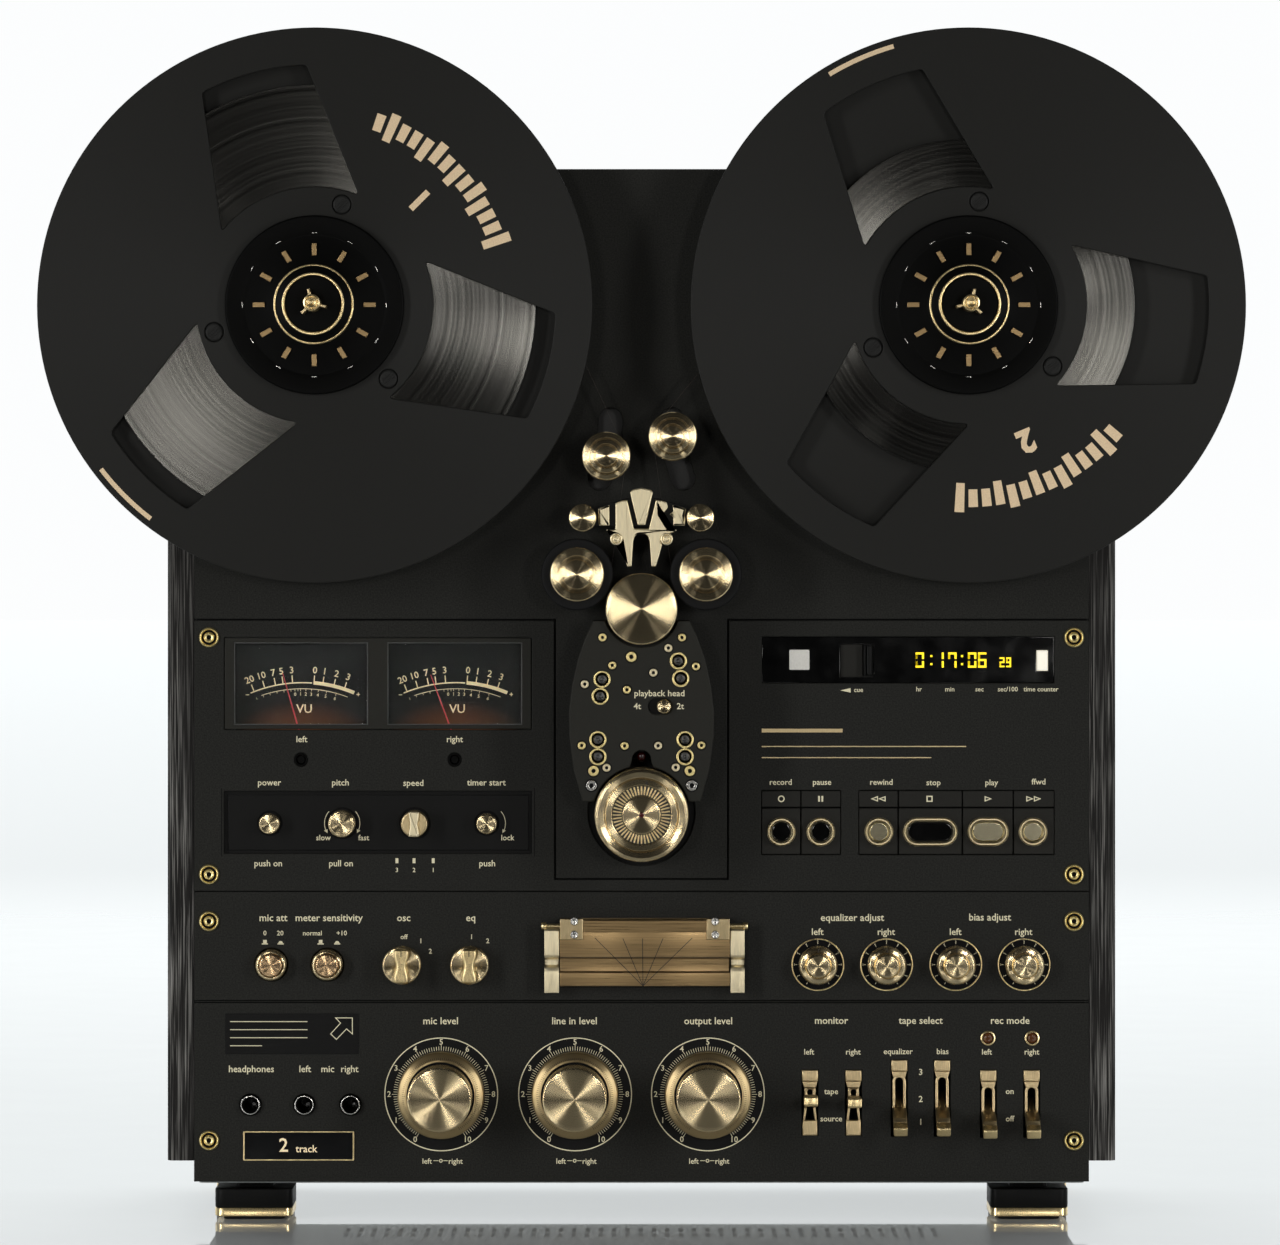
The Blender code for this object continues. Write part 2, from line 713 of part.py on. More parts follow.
def make_counter_controls():
    node(
        "cue_lever",
        lambda bm: box(bm, 90, 125, 3.5, 5.5, 263.5, 283.5),
        "black_plastic",
        pivot=(110.0, 0.0, 273.5),
        add=(lambda bm: box(bm, 107.8, 112.0, -1.5, 4.5, 266.5, 281.0),),
    )
    node(
        "counter_reset",
        lambda bm: box(bm, 191.8, 197.0, -0.5, 6, 268.7, 278.6),
        "black_plastic",
        pivot=(194.4, 0.0, 273.6),
    )


def make_keys():
    for name, (x0, x1, x, half) in KEYS.items():
        reach = half - 7.0
        path = ((x - reach, BUTTON_Z), (x + reach, BUTTON_Z))
        cup = slot_outline(path, 7.0) if reach > 0 else circle(x, BUTTON_Z, 7.0, 14)
        hollow = slot_outline(path, 4.8) if reach > 0 else circle(x, BUTTON_Z, 4.8, 12)
        node(
            f"{name}_key",
            lambda bm, x0=x0, x1=x1: box(bm, x0, x1, 0.4, 4.0, *KEY_Z),
            "gold_brass",
            pivot=(x, 0.0, BUTTON_Z),
            add=(lambda bm, cup=cup: prism(bm, cup, -3.2, 2.0),),
            cut=(lambda bm, hollow=hollow: prism(bm, hollow, -5.0, -1.2),),
        )


def make_amplifier_controls():
    push = ((0, -7.5), (5.6, -7.5), (5.8, -6.5), (7.0, -5.8), (7.4, -5.0), (7.4, 8), (0, 8))
    selector = ((0, -7), (8.6, -7), (9.3, -6.2), (9.3, -0.8), (3.0, -0.8), (3.0, 8), (0, 8))
    adjust = (
        (0, -12.5), (5.3, -12.5), (5.8, -12), (5.8, -9.5), (8.8, -9), (9.3, -8.3), (9.3, -0.8),
        (3.0, -0.8), (3.0, 8), (0, 8),
    )
    knob("mic_attenuator_button", -179.5, ROW_Z, push)
    knob("meter_sensitivity_button", -152.3, ROW_Z, push)
    knob("oscillator_knob", -116.1, ROW_Z, selector, bar=(3.9, 8.4, -14, -6))
    knob("playback_eq_knob", -83.3, ROW_Z, selector, bar=(3.9, 8.4, -14, -6))
    for name, x in zip(("eq_adjust_left", "eq_adjust_right", "bias_adjust_left", "bias_adjust_right"), ADJUST_X):
        knob(name, x, ROW_Z, adjust)


def make_level_controls():
    front = ((0, -32), (14.6, -32), (15.5, -31.1), (15.5, -12.6), (3.6, -12.6), (3.6, 14), (0, 14))
    outer = (
        (4.2, -12), (16.5, -12), (20.0, -11), (20.9, -9.8), (20.9, -0.8), (6.5, -0.8), (6.5, 9), (4.2, 9),
    )
    for name, x in zip(("mic", "line", "output"), LEVEL_X):
        knob(f"{name}_level_knob", x, LEVEL_Z, front, 20)
        node(
            f"{name}_level_ring", lambda bm, x=x: lathe(bm, x, LEVEL_Z, outer, 22, True), "gold_brass",
            pivot=(x, 0.0, LEVEL_Z), smooth=True,
        )


def make_levers():
    shape = (
        (-2.5, -1.6), (23.5, -1.6), (25.0, -2.7), (30.0, -2.7), (30.0, 2.2), (25.0, 2.2), (23.5, 1.2),
        (-2.5, 1.6),
    )
    for name, (x, z0, z1, rest) in LEVERS.items():
        z = (z0 + z1) / 2
        turn = math.radians(rest)
        outline = [
            (
                LEVER_PIVOT_Y - (u * math.cos(turn) - v * math.sin(turn)),
                z + u * math.sin(turn) + v * math.cos(turn),
            )
            for u, v in shape
        ]
        node(
            name, lambda bm, x=x, outline=outline: prism_x(bm, outline, x - 3.4, x + 3.4), "gold_brass",
            pivot=(x, LEVER_PIVOT_Y, z),
        )


# ---------------------------------------------------------------- splicing block
BLOCK_X = (-39.5, 42.7)
BLOCK_Z = (116.3, 149.0)
ROD_YZ = (-5.2, 145.2)


def ring_yz(center, r, count):
    return [(center[0] + dx, center[1] + dz) for dx, dz in circle(0, 0, r, count)]


def make_splicing_block():
    x0, x1 = BLOCK_X

    def channels(bm):
        box(bm, x0 - 1, x1 + 1, -9.5, -2.6, ROD_YZ[1] - 2.5, ROD_YZ[1] + 2.5)
        box(bm, x0 - 1, x1 + 1, -9.5, -7.2, 122.8, 130.1)

    def brackets(bm):
        for a, b in ((x0 + 0.05, x0 + 11), (x1 - 11, x1 - 0.05)):
            box(bm, a, b, -9.2, -7.6, 138.8, BLOCK_Z[1] - 0.05)

    node(
        "splicing_block",
        lambda bm: box(bm, x0, x1, -8, -GAP, *BLOCK_Z),
        "gold_brass",
    )
    block = bpy.data.objects["splicing_block"]
    for i, (operation, build) in enumerate((("DIFFERENCE", channels), ("UNION", brackets))):
        tool = mesh_object(f"splicing_block_detail_{i}", build, (0.0, 0.0, 0.0), "gold_brass")
        tool.hide_render = True
        tool.display_type = "WIRE"
        step = block.modifiers.new(f"detail_{i}", "BOOLEAN")
        step.object = tool
        step.operation = operation
        step.solver = "EXACT"


def make_tape_clamps():
    y, z = ROD_YZ
    strip = (
        (y - 3.0, z - 2.6), (y - 3.0, 131.0), (y - 1.0, 129.5), (y - 1.0, 124.0), (y - 3.2, 122.5),
        (y - 3.2, 113.0), (y - 1.4, 113.0), (y - 1.4, 121.5), (y + 0.8, 123.2), (y + 0.8, 130.4),
        (y - 1.2, 132.0), (y - 1.0, z - 1.0),
    )

    def strips(bm):
        prism_x(bm, strip, -47.0, BLOCK_X[0] - 0.4)
        prism_x(bm, strip, BLOCK_X[1] + 0.4, 49.9)

    node(
        "tape_clamps",
        lambda bm: prism_x(bm, ring_yz(ROD_YZ, 2.1, 12), -48.5, 51.6),
        "gold_brass",
        pivot=(0.0, y, z),
        add=(strips,),
    )


def main():
    clear_scene()
    make_case()
    make_chassis()
    make_transport_panel()
    make_amplifier_panel()
    make_cheeks()
    make_feet()
    for side, name in ((-1, "left"), (1, "right")):
        make_reel(side, name)
        make_hub_adapter(side, name)
        make_tension_arm(side, name)
        make_pinch_roller(side, name)
    make_rollers()
    make_head_block()
    make_head_selector()
    make_guide_bracket()
    make_meters()
    make_switch_row()
    make_counter_controls()
    make_keys()
    make_amplifier_controls()
    make_level_controls()
    make_levers()
    make_splicing_block()
    make_tape_clamps()


main()
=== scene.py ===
"""Looks of an open-reel tape deck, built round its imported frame.

Lengths in the tables are millimetres: X from the middle, Y from the panels' front face
(negative is in front of them), Z above the table. Turned pieces have their origin on their axis.
"""
import json
import math

import bmesh
import bpy
from mathutils import Matrix, Vector


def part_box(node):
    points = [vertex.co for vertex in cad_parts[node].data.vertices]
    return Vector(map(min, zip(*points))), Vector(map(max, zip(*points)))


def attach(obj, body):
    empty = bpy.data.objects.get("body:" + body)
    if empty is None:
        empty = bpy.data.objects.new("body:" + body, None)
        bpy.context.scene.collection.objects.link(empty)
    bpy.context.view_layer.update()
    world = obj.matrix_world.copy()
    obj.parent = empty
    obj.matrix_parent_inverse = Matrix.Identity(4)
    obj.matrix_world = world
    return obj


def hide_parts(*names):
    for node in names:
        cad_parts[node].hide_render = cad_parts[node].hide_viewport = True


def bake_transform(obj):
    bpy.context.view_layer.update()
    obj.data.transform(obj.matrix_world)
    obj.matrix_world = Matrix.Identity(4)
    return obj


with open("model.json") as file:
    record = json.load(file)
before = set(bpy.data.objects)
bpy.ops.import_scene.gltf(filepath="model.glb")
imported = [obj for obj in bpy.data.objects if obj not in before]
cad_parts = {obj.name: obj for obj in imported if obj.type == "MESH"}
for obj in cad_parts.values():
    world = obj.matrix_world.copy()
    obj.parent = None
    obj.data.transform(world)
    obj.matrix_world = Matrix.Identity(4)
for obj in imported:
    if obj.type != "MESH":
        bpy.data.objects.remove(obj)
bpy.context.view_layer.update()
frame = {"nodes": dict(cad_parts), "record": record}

MM = 0.001
PANEL_LOW, PANEL_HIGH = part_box("transport_panel")
FRONT = PANEL_LOW.y                  # the panels' front face, in metres
HALF = PANEL_HIGH.x / MM             # half of the panels' width
BODIES = frame["record"]["behaviour"]["bodies"]
BODY_OF = {node: body for body, nodes in BODIES.items() for node in nodes}

# places, (x, z); angles in degrees, anticlockwise from the viewer's right
SIDES = {"left": -1, "right": 1}
REELS = {"left": (-156.9, 444.8), "right": (156.9, 444.8)}
PACK_R = {"left": 106.0, "right": 80.0}
WINDOWS_AT = {"left": 105.0, "right": 114.0}
SCREWS_AT = {"left": 75.0, "right": 84.0}
NUMBER_AT = {"left": 45.0, "right": 293.0}
RIM_MARK_AT = {"left": 225.0, "right": 113.6}
TENSION = {"left": (-16.9, 372.3), "right": (15.0, 381.8)}
TENSION_PIVOT = {"left": (-93.6, 390.5), "right": (93.6, 390.5)}
TENSION_ARM = 78.6
PINCH = {"left": (-30.9, 315.5), "right": (30.9, 315.5)}
PINCH_PIVOT = {"left": (-46.9, 285.5), "right": (46.9, 285.5)}
GUIDE = (28.3, 342.6)
CAPSTAN = (0.0, 299.0)
RETURN = (0.0, 200.2)
SELECTOR = (10.8, 252.2)
NEEDLES = {"left": (-165.1, 16.0), "right": (-90.6, 20.5)}      # pivot x and lean at rest
NEEDLE_Z = 234.8
TRIMMER_Z = 225.6
METERS = {"left": (-197.7, -132.6), "right": (-123.3, -57.8)}
SWITCH_X = (-180.3, -145.2, -110.0, -75.1)
SWITCH_Z = 194.7
ROW_BUTTONS = {"mic_attenuator_button": -179.5, "meter_sensitivity_button": -152.3}
ROW_KNOBS = {"oscillator_knob": -116.1, "playback_eq_knob": -83.3}
ADJUST = {"eq_adjust_left": 85.5, "eq_adjust_right": 118.8,
          "bias_adjust_left": 152.4, "bias_adjust_right": 185.5}
ROW_Z = 126.2
LEVEL_X = {"mic": -97.1, "line": -32.2, "output": 32.2}
LEVEL_Z = 63.3
JACK_X = (-189.6, -163.5, -141.1)
JACK_Z = 58.3
PRINT_Y = -0.06                      # where lettering lies on a face at y = 0


# ---------------- looks
LOOKS = {}
DULL = 0.16                          # specular level of painted parts
NOISE_SPAN = (0.3, 0.7)              # the part of a noise that carries its contrast
DETAIL = 3.0
RING_DETAIL = 1.0                    # more would turn fine rings into speckle


def feed(tree, node, inputs):
    """Links each named input from a socket, or sets it to a value."""
    for key, value in inputs.items():
        if isinstance(value, bpy.types.NodeSocket):
            tree.links.new(value, node.inputs[key])
        else:
            node.inputs[key].default_value = value


def add(tree, kind, inputs=(), **settings):
    node = tree.nodes.new(f"ShaderNode{kind}")
    for name, value in settings.items():
        setattr(node, name, value)
    feed(tree, node, dict(inputs))
    return node


def stretched(tree, source, grain, rings=False):
    """Object coordinates in units of the grain; in rings, they hold the distance from the Y axis."""
    if rings:
        flat = add(tree, "VectorMath", {0: source, 1: (1.0, 0.0, 1.0)}, operation="MULTIPLY")
        away = add(tree, "VectorMath", {0: flat.outputs[0]}, operation="LENGTH")
        source = add(tree, "CombineXYZ", {"X": away.outputs["Value"]}).outputs[0]
    scale = [1 / (g * MM) for g in grain]
    return add(tree, "VectorMath", {0: source, 1: scale}, operation="MULTIPLY").outputs[0]


def noise_of(tree, place, detail):
    return add(tree, "TexNoise", {"Scale": 1.0, "Detail": detail, "Vector": place}).outputs["Fac"]


def ranged(tree, source, low, high, out_low, out_high):
    inputs = {"Value": source, "From Min": low, "From Max": high, "To Min": out_low, "To Max": out_high}
    return add(tree, "MapRange", inputs).outputs["Result"]


def mixed(tree, factor, dark, light):
    """A blend of two tones, each a socket or an (r, g, b)."""
    dark, light = (t if isinstance(t, bpy.types.NodeSocket) else (*t, 1.0) for t in (dark, light))
    return add(tree, "Mix", {6: dark, 7: light, "Factor": factor}, data_type="RGBA").outputs[2]


def look(name, color, roughness, metallic=0.0, grain=0.5, spread=0.2, rough_spread=0.05, bump=0.0,
         rings=False, anisotropy=0.0, specular=None, glow=None, sockets=()):
    """A Principled material whose tone, roughness and height follow a noise of this grain, in mm."""
    made = LOOKS[name] = bpy.data.materials.new(name)
    made.use_nodes = True
    tree = made.node_tree
    shader = tree.nodes["Principled BSDF"]
    if isinstance(grain, float):
        grain = (grain, grain, grain)
    place = stretched(tree, add(tree, "TexCoord").outputs["Object"], grain, rings)
    noise = noise_of(tree, place, RING_DETAIL if rings else DETAIL)
    dark = [c * (1 - spread) for c in color]
    light = [min(1.0, c * (1 + spread)) for c in color]
    base = mixed(tree, ranged(tree, noise, *NOISE_SPAN, 0.0, 1.0), dark, light)
    rough = ranged(tree, noise, *NOISE_SPAN, roughness - rough_spread, roughness + rough_spread)
    feed(tree, shader, {"Metallic": metallic, "Base Color": base, "Roughness": rough, **dict(sockets)})
    if specular is not None:
        shader.inputs["Specular IOR Level"].default_value = specular
    if glow:
        feed(tree, shader, {"Emission Color": (*glow[0], 1.0), "Emission Strength": glow[1]})
    if bump:
        relief = add(tree, "Bump", {"Strength": 1.0, "Distance": bump * MM, "Height": noise})
        feed(tree, shader, {"Normal": relief.outputs["Normal"]})
    if anisotropy:
        turned_way = add(tree, "Tangent", direction_type="RADIAL", axis="Y").outputs["Tangent"]
        feed(tree, shader, {"Anisotropic": anisotropy, "Anisotropic Rotation": 0.25, "Tangent": turned_way})
    return made


def wood_look():
    """Black-stained open-grained wood, its grain upright; its pale grey streaks are partly pores worn pale and
    partly a painted sheen of grazing light.
    """
    wood = look("stained_wood", (0.012, 0.011, 0.010), 0.5, grain=(1.1, 1.1, 60.0), bump=0.06, specular=DULL)
    tree = wood.node_tree
    shader = tree.nodes["Principled BSDF"]
    place = tree.nodes["Texture Coordinate"].outputs["Object"]
    streaks = noise_of(tree, stretched(tree, place, (0.8, 0.8, 45.0)), 6.0)
    broad = noise_of(tree, stretched(tree, place, (6.0, 6.0, 130.0)), 2.0)
    # pale grey along the grain: partly worn pale pores, partly painted sheen
    pores = ranged(tree, streaks, 0.48, 0.66, 0.0, 1.0)
    sheen_and_wear = ranged(tree, broad, 0.35, 0.6, 0.2, 1.0)
    both = add(tree, "Math", {0: pores, 1: sheen_and_wear}, operation="MULTIPLY").outputs[0]
    base = shader.inputs["Base Color"].links[0].from_socket
    feed(tree, shader, {"Base Color": mixed(tree, both, base, (0.30, 0.29, 0.27))})


def meter_look():
    """A black dial lit warm brown from a lamp below it."""
    tree = look("meter_face", (0.006, 0.005, 0.004), 0.5, grain=0.3).node_tree
    shader = tree.nodes["Principled BSDF"]
    place = tree.nodes["Texture Coordinate"].outputs["Object"]
    near = add(tree, "VectorMath", {0: stretched(tree, place, (34.0, 34.0, 15.0))}, operation="LENGTH")
    glow = ranged(tree, near.outputs["Value"], 0.15, 1.0, 1.0, 0.0)
    lit = mixed(tree, glow, (0.0, 0.0, 0.0), (0.17, 0.055, 0.012))
    feed(tree, shader, {"Emission Color": lit, "Emission Strength": 0.55})


def make_looks():
    wood_look()
    meter_look()
    # paint and plastic
    look("panel_paint", (0.0165, 0.0165, 0.0141), 0.56, grain=0.75, spread=0.5, bump=0.05, specular=DULL)
    look("key_paint", (0.0175, 0.0168, 0.0142), 0.5, grain=0.3, bump=0.012, specular=DULL)
    look("cover_paint", (0.0215, 0.021, 0.017), 0.5, grain=0.3, bump=0.012, specular=DULL)
    look("recess_black", (0.0045, 0.0045, 0.0042), 0.45, spread=0.3, specular=DULL)
    look("gap_black", (0.0015, 0.0015, 0.0015), 0.7, grain=1.0, specular=DULL)
    look("gloss_black", (0.0022, 0.0022, 0.0022), 0.1, grain=9.0, rough_spread=0.03)
    look("hub_black", (0.0022, 0.0022, 0.0020), 0.45, grain=(0.2, 1.0, 1.0), rough_spread=0.1, rings=True,
         specular=0.06)
    look("case_metal", (0.018, 0.018, 0.017), 0.48, bump=0.02, specular=DULL)
    look("base_grey", (0.30, 0.32, 0.31), 0.5, 0.3, grain=(4.0, 40.0, 4.0), spread=0.08)
    # the drive chassis: its grey casting is made near black, as painted shade in the panel slots it shows through
    look("casting_painted_shade", (0.045, 0.045, 0.045), 0.5, 0.3, grain=1.0, bump=0.05)
    look("socket_plastic", (0.012, 0.012, 0.012), 0.4, grain=0.4)
    look("rubber_black", (0.006, 0.006, 0.006), 0.62, grain=0.4, spread=0.25, bump=0.01, specular=DULL)
    look("tile_white", (0.8, 0.78, 0.72), 0.4, grain=1.0, spread=0.05)
    # metal
    look("steel", (0.62, 0.61, 0.58), 0.24, 1.0, grain=0.15)
    look("dark_steel", (0.10, 0.10, 0.10), 0.35, 1.0, grain=0.2)
    look("turned_brass", (0.74, 0.60, 0.36), 0.22, 1.0, (0.32, 1.0, 1.0), 0.12, 0.02, rings=True,
         anisotropy=1.0)
    look("skirt_brass", (0.50, 0.38, 0.20), 0.36, 1.0, (0.12, 1.0, 1.0), 0.12, rings=True, anisotropy=0.8)
    look("turned_copper", (0.70, 0.48, 0.27), 0.23, 1.0, (0.32, 1.0, 1.0), 0.10, 0.02, rings=True,
         anisotropy=1.0)
    look("polished_brass", (0.86, 0.68, 0.36), 0.3, 1.0, grain=0.3, spread=0.06)
    look("champagne", (0.88, 0.77, 0.52), 0.43, 1.0, grain=(0.5, 0.5, 6.0), spread=0.08)
    look("warm_brass", (0.72, 0.56, 0.32), 0.38, 1.0, grain=(0.4, 0.4, 4.0), spread=0.12)
    look("brushed_brass", (0.30, 0.205, 0.10), 0.34, 1.0, (26.0, 0.3, 0.3), rough_spread=0.08, bump=0.006)
    look("screw_brass", (0.95, 0.78, 0.36), 0.36, 1.0, grain=0.3, spread=0.06)
    look("dish_metal", (0.42, 0.38, 0.26), 0.22, 1.0, grain=(0.3, 6.0, 0.3))
    look("satin_brass", (0.62, 0.49, 0.28), 0.33, 1.0, grain=(0.3, 4.0, 4.0), spread=0.1)
    # reels and tape
    look("reel_satin", (0.0170, 0.0168, 0.0152), 0.5, grain=(0.28, 1.0, 1.0), spread=0.14, rings=True,
         anisotropy=0.4, specular=DULL)
    look("tape_wound", (0.092, 0.090, 0.083), 0.25, 1.0, (1.9, 1.0, 1.0), 0.5, 0.03, rings=True,
         anisotropy=1.0)
    look("tape_ribbon", (0.035, 0.024, 0.018), 0.3, 0.3, grain=(2.0, 0.4, 2.0))
    # print, lamps and glass
    look("print_gold", (0.95, 0.82, 0.57), 0.45, grain=0.25, spread=0.18)
    look("print_copper", (0.95, 0.70, 0.44), 0.45, 0.1, grain=0.6, spread=0.12)
    look("print_dark", (0.02, 0.015, 0.008), 0.5, grain=0.3)
    # print with a painted glow: the meter scales and the badge's lettering glow though they are no lamps
    look("print_painted_glow", (0.95, 0.80, 0.54), 0.5, grain=0.4, spread=0.08, glow=((0.75, 0.55, 0.3), 0.35))
    # the meter needles' red, with a painted glow
    look("needle_red", (0.55, 0.06, 0.07), 0.4, grain=0.4, spread=0.1, glow=((0.6, 0.03, 0.06), 0.35))
    look("digit_glow", (0.9, 0.7, 0.02), 0.4, grain=0.3, spread=0.1, glow=((1.0, 0.72, 0.01), 1.0))
    look("lamp_white", (0.85, 0.82, 0.72), 0.35, grain=1.0, spread=0.05, glow=((1.0, 0.93, 0.75), 0.45))
    look("lens_red", (0.06, 0.003, 0.003), 0.16)
    look("lens_amber", (0.10, 0.035, 0.012), 0.12)
    look("meter_glass", (0.95, 0.97, 0.97), 0.06, grain=(0.25, 0.25, 9.0), spread=0.01,
         sockets=(("Transmission Weight", 1.0), ("IOR", 1.2)))


# ---------------- shells, in millimetres
def circle(x, z, r, count=48):
    turns = [math.tau * i / count for i in range(count)]
    return [(x + r * math.cos(t), z + r * math.sin(t)) for t in turns]


def rectangle(x0, x1, z0, z1):
    return [(x0, z0), (x1, z0), (x1, z1), (x0, z1)]


def arc(center, r, start, end, count):
    """Points on an arc, angles in degrees."""
    turns = [math.radians(start + (end - start) * i / count) for i in range(count + 1)]
    return [(center[0] + r * math.cos(t), center[1] + r * math.sin(t)) for t in turns]


def point(center, r, degrees):
    return arc(center, r, degrees, 0, 1)[0]


def band(center, r0, r1, start, end, count):
    """The outline between two arcs."""
    return arc(center, r0, start, end, count) + arc(center, r1, end, start, count)


def grid(xs, zs):
    return [(x, z) for x in xs for z in zs]


def moved(outline, x, z):
    return [(x + u, z + v) for u, v in outline]


def softened(outline, r, steps=3):
    """The closed outline with its corners rounded."""
    points = [Vector(p) for p in outline]
    smooth = []
    for a, b, c in zip(points[-1:] + points[:-1], points, points[1:] + points[:1]):
        smooth += corner(a, b, c, r, steps)
    return smooth


def corner(a, b, c, r, steps):
    """The corner at b as a short curve, or b itself where the way hardly turns."""
    u, v = a - b, c - b
    if u.length < 1e-6 or v.length < 1e-6 or u.angle(v) > math.radians(165):
        return [tuple(b)]
    cut = min(r, u.length / 2.3, v.length / 2.3)
    p, q = b + u.normalized() * cut, b + v.normalized() * cut
    parts = [i / steps for i in range(steps + 1)]
    return [tuple(p * (1 - t) ** 2 + b * 2 * t * (1 - t) + q * t * t) for t in parts]


def offset(outline, d):
    """The closed outline moved outwards by d."""
    points = [Vector(p) for p in outline]
    area = sum(a.x * b.y - b.x * a.y for a, b in zip(points, points[1:] + points[:1]))
    side = 1 if area > 0 else -1
    grown = []
    for a, b, c in zip(points[-1:] + points[:-1], points, points[1:] + points[:1]):
        u, v = (b - a).normalized(), (c - b).normalized()
        mitre = Vector((u.y + v.y, -u.x - v.x))
        mitre /= max(mitre.length_squared / 2, 0.3)
        grown.append(tuple(b + mitre * d * side))
    return grown


def along_y(u, v, depth):
    return (u, depth, v)


def along_x(u, v, depth):
    return (depth, u, v)


def along_z(u, v, depth):
    return (u, v, depth)


def walls(bm, near, far):
    for i in range(len(near)):
        j = (i + 1) % len(near)
        bm.faces.new((near[i], near[j], far[j], far[i]))


def slab(bm, outline, d0, d1, edge=0.3, holes=(), way=along_y, both=False):
    """A flat piece from d0 to d1 with rounded front edges, and rounded back edges if both."""
    near, far = [], []
    turn = 1 - math.sqrt(0.5)
    for i, loop in enumerate([outline, *holes]):
        grow = edge if i else -edge
        steps = [(grow * 1.5, 0.0), (grow, 0.0), (grow * turn, edge * turn), (0.0, edge)]
        rings = [(offset(loop, g) if g else loop, d0 + d) for g, d in steps] if edge else [(loop, d0)]
        if both:
            rings += [(offset(loop, g) if g else loop, d1 - d) for g, d in steps[::-1]]
        else:
            rings.append((loop, d1))
        made = [[bm.verts.new(way(u, v, depth)) for u, v in points] for points, depth in rings]
        for a, b in zip(made, made[1:]):
            walls(bm, a, b)
        near.append(made[0])
        far.append(made[-1])
    for loops in (near, far):
        if len(loops) == 1:
            bm.faces.new(loops[0])
            continue
        edges = [bm.edges.get((a, b)) for loop in loops for a, b in zip(loop, loop[1:] + loop[:1])]
        bmesh.ops.triangle_fill(bm, edges=edges, use_beauty=True)


def mark(bm, outline, y=PRINT_Y, holes=()):
    """A printed shape, a twentieth of a millimetre thick."""
    slab(bm, outline, y, y + 0.05, 0.0, holes)


def bar(bm, x0, x1, y0, y1, z0, z1, edge=0.3):
    slab(bm, rectangle(x0, x1, z0, z1), y0, y1, edge)


def rounded(profile, r, steps=3, closed=False):
    points = [Vector(p) for p in profile]
    if closed:
        return softened(profile, r, steps)
    smooth = [profile[0]]
    for a, b, c in zip(points, points[1:], points[2:]):
        smooth += steadied(a, corner(a, b, c, r, steps), c)
    return smooth + [profile[-1]]


def steadied(a, curve, c):
    """A corner's curve with a point on the flat at each side, which keeps the flats' shading flat."""
    if len(curve) == 1:
        return curve
    first, last = Vector(curve[0]), Vector(curve[-1])
    return [tuple(first.lerp(a, 0.12)), *curve, tuple(last.lerp(c, 0.12))]


def turned(bm, x, z, profile, soft=0.2, count=72, closed=False):
    """A (radius, y) profile turned about the Y axis through (x, z), its corners rounded."""
    rings = []
    for r, y in rounded(profile, soft, 3, closed):
        points = circle(x, z, r, count) if r > 1e-4 else [(x, z)]
        rings.append([bm.verts.new((u, y, v)) for u, v in points])
    pairs = list(zip(rings, rings[1:])) + ([(rings[-1], rings[0])] if closed else [])
    for near, far in pairs:
        if len(near) == 1 and len(far) == 1:
            continue
        for i in range(count):
            j = (i + 1) % count
            if len(near) == 1:
                bm.faces.new((near[0], far[j], far[i]))
            elif len(far) == 1:
                bm.faces.new((near[i], near[j], far[0]))
            else:
                bm.faces.new((near[i], near[j], far[j], far[i]))


def slot_outline(path, half, steps=12):
    """A round-ended slot of this half-width about a path of (x, z) points."""
    points = [Vector(p) for p in path]
    ways = [(b - a).normalized() for a, b in zip(points, points[1:])]
    ways = [ways[0]] + [(a + b).normalized() for a, b in zip(ways, ways[1:])] + [ways[-1]]
    left = [p + Vector((-w.y, w.x)) * half for p, w in zip(points, ways)]
    right = [p - Vector((-w.y, w.x)) * half for p, w in zip(points, ways)]

    def cap(center, way):
        start = math.degrees(math.atan2(-way.x, way.y))
        return [Vector(p) for p in arc(center, half, start, start + 180, steps)[1:-1]]

    outline = right + cap(points[-1], ways[-1]) + left[::-1] + cap(points[0], -ways[0])
    return [tuple(p) for p in outline]


def rotated(outline, center, degrees):
    turn = Matrix.Rotation(math.radians(degrees), 2)
    middle = Vector(center)
    return [tuple(middle + turn @ (Vector(p) - middle)) for p in outline]


def ray(center, r0, r1, half, degrees):
    """A bar of this half-width along a radius."""
    x, z = center
    return rotated(rectangle(x + r0, x + r1, z - half, z + half), center, degrees)


def label(bm, text, x, z, size, y=PRINT_Y, turn=0.0, width=None, heft=0.011):
    """Lettering centred at (x, z), reading from the front, turned anticlockwise in degrees."""
    curve = bpy.data.curves.new("label", "FONT")
    curve.body = text
    curve.size = size
    curve.align_x = "CENTER"
    curve.align_y = "CENTER"
    curve.extrude = 0.025
    curve.offset = heft * size
    curve.resolution_u = 2
    holder = bpy.data.objects.new("label", curve)
    mesh = bpy.data.meshes.new_from_object(holder)
    across = [v.co.x for v in mesh.vertices]
    fit = width / (max(across) - min(across)) if width else 1.0
    place = Matrix.Translation((x, y, z)) @ Matrix.Rotation(math.radians(-turn), 4, "Y")
    mesh.transform(place @ Matrix.Rotation(math.pi / 2, 4, "X") @ Matrix.Diagonal((fit, 1, 1, 1)))
    bm.from_mesh(mesh)
    bpy.data.objects.remove(holder)
    bpy.data.curves.remove(curve)
    bpy.data.meshes.remove(mesh)


def words(bm, rows, y=PRINT_Y):
    """Rows of lettering, each a height, a size and every word's middle."""
    for z, size, row in rows:
        for text, x in row.items():
            label(bm, text, x, z, size, y)


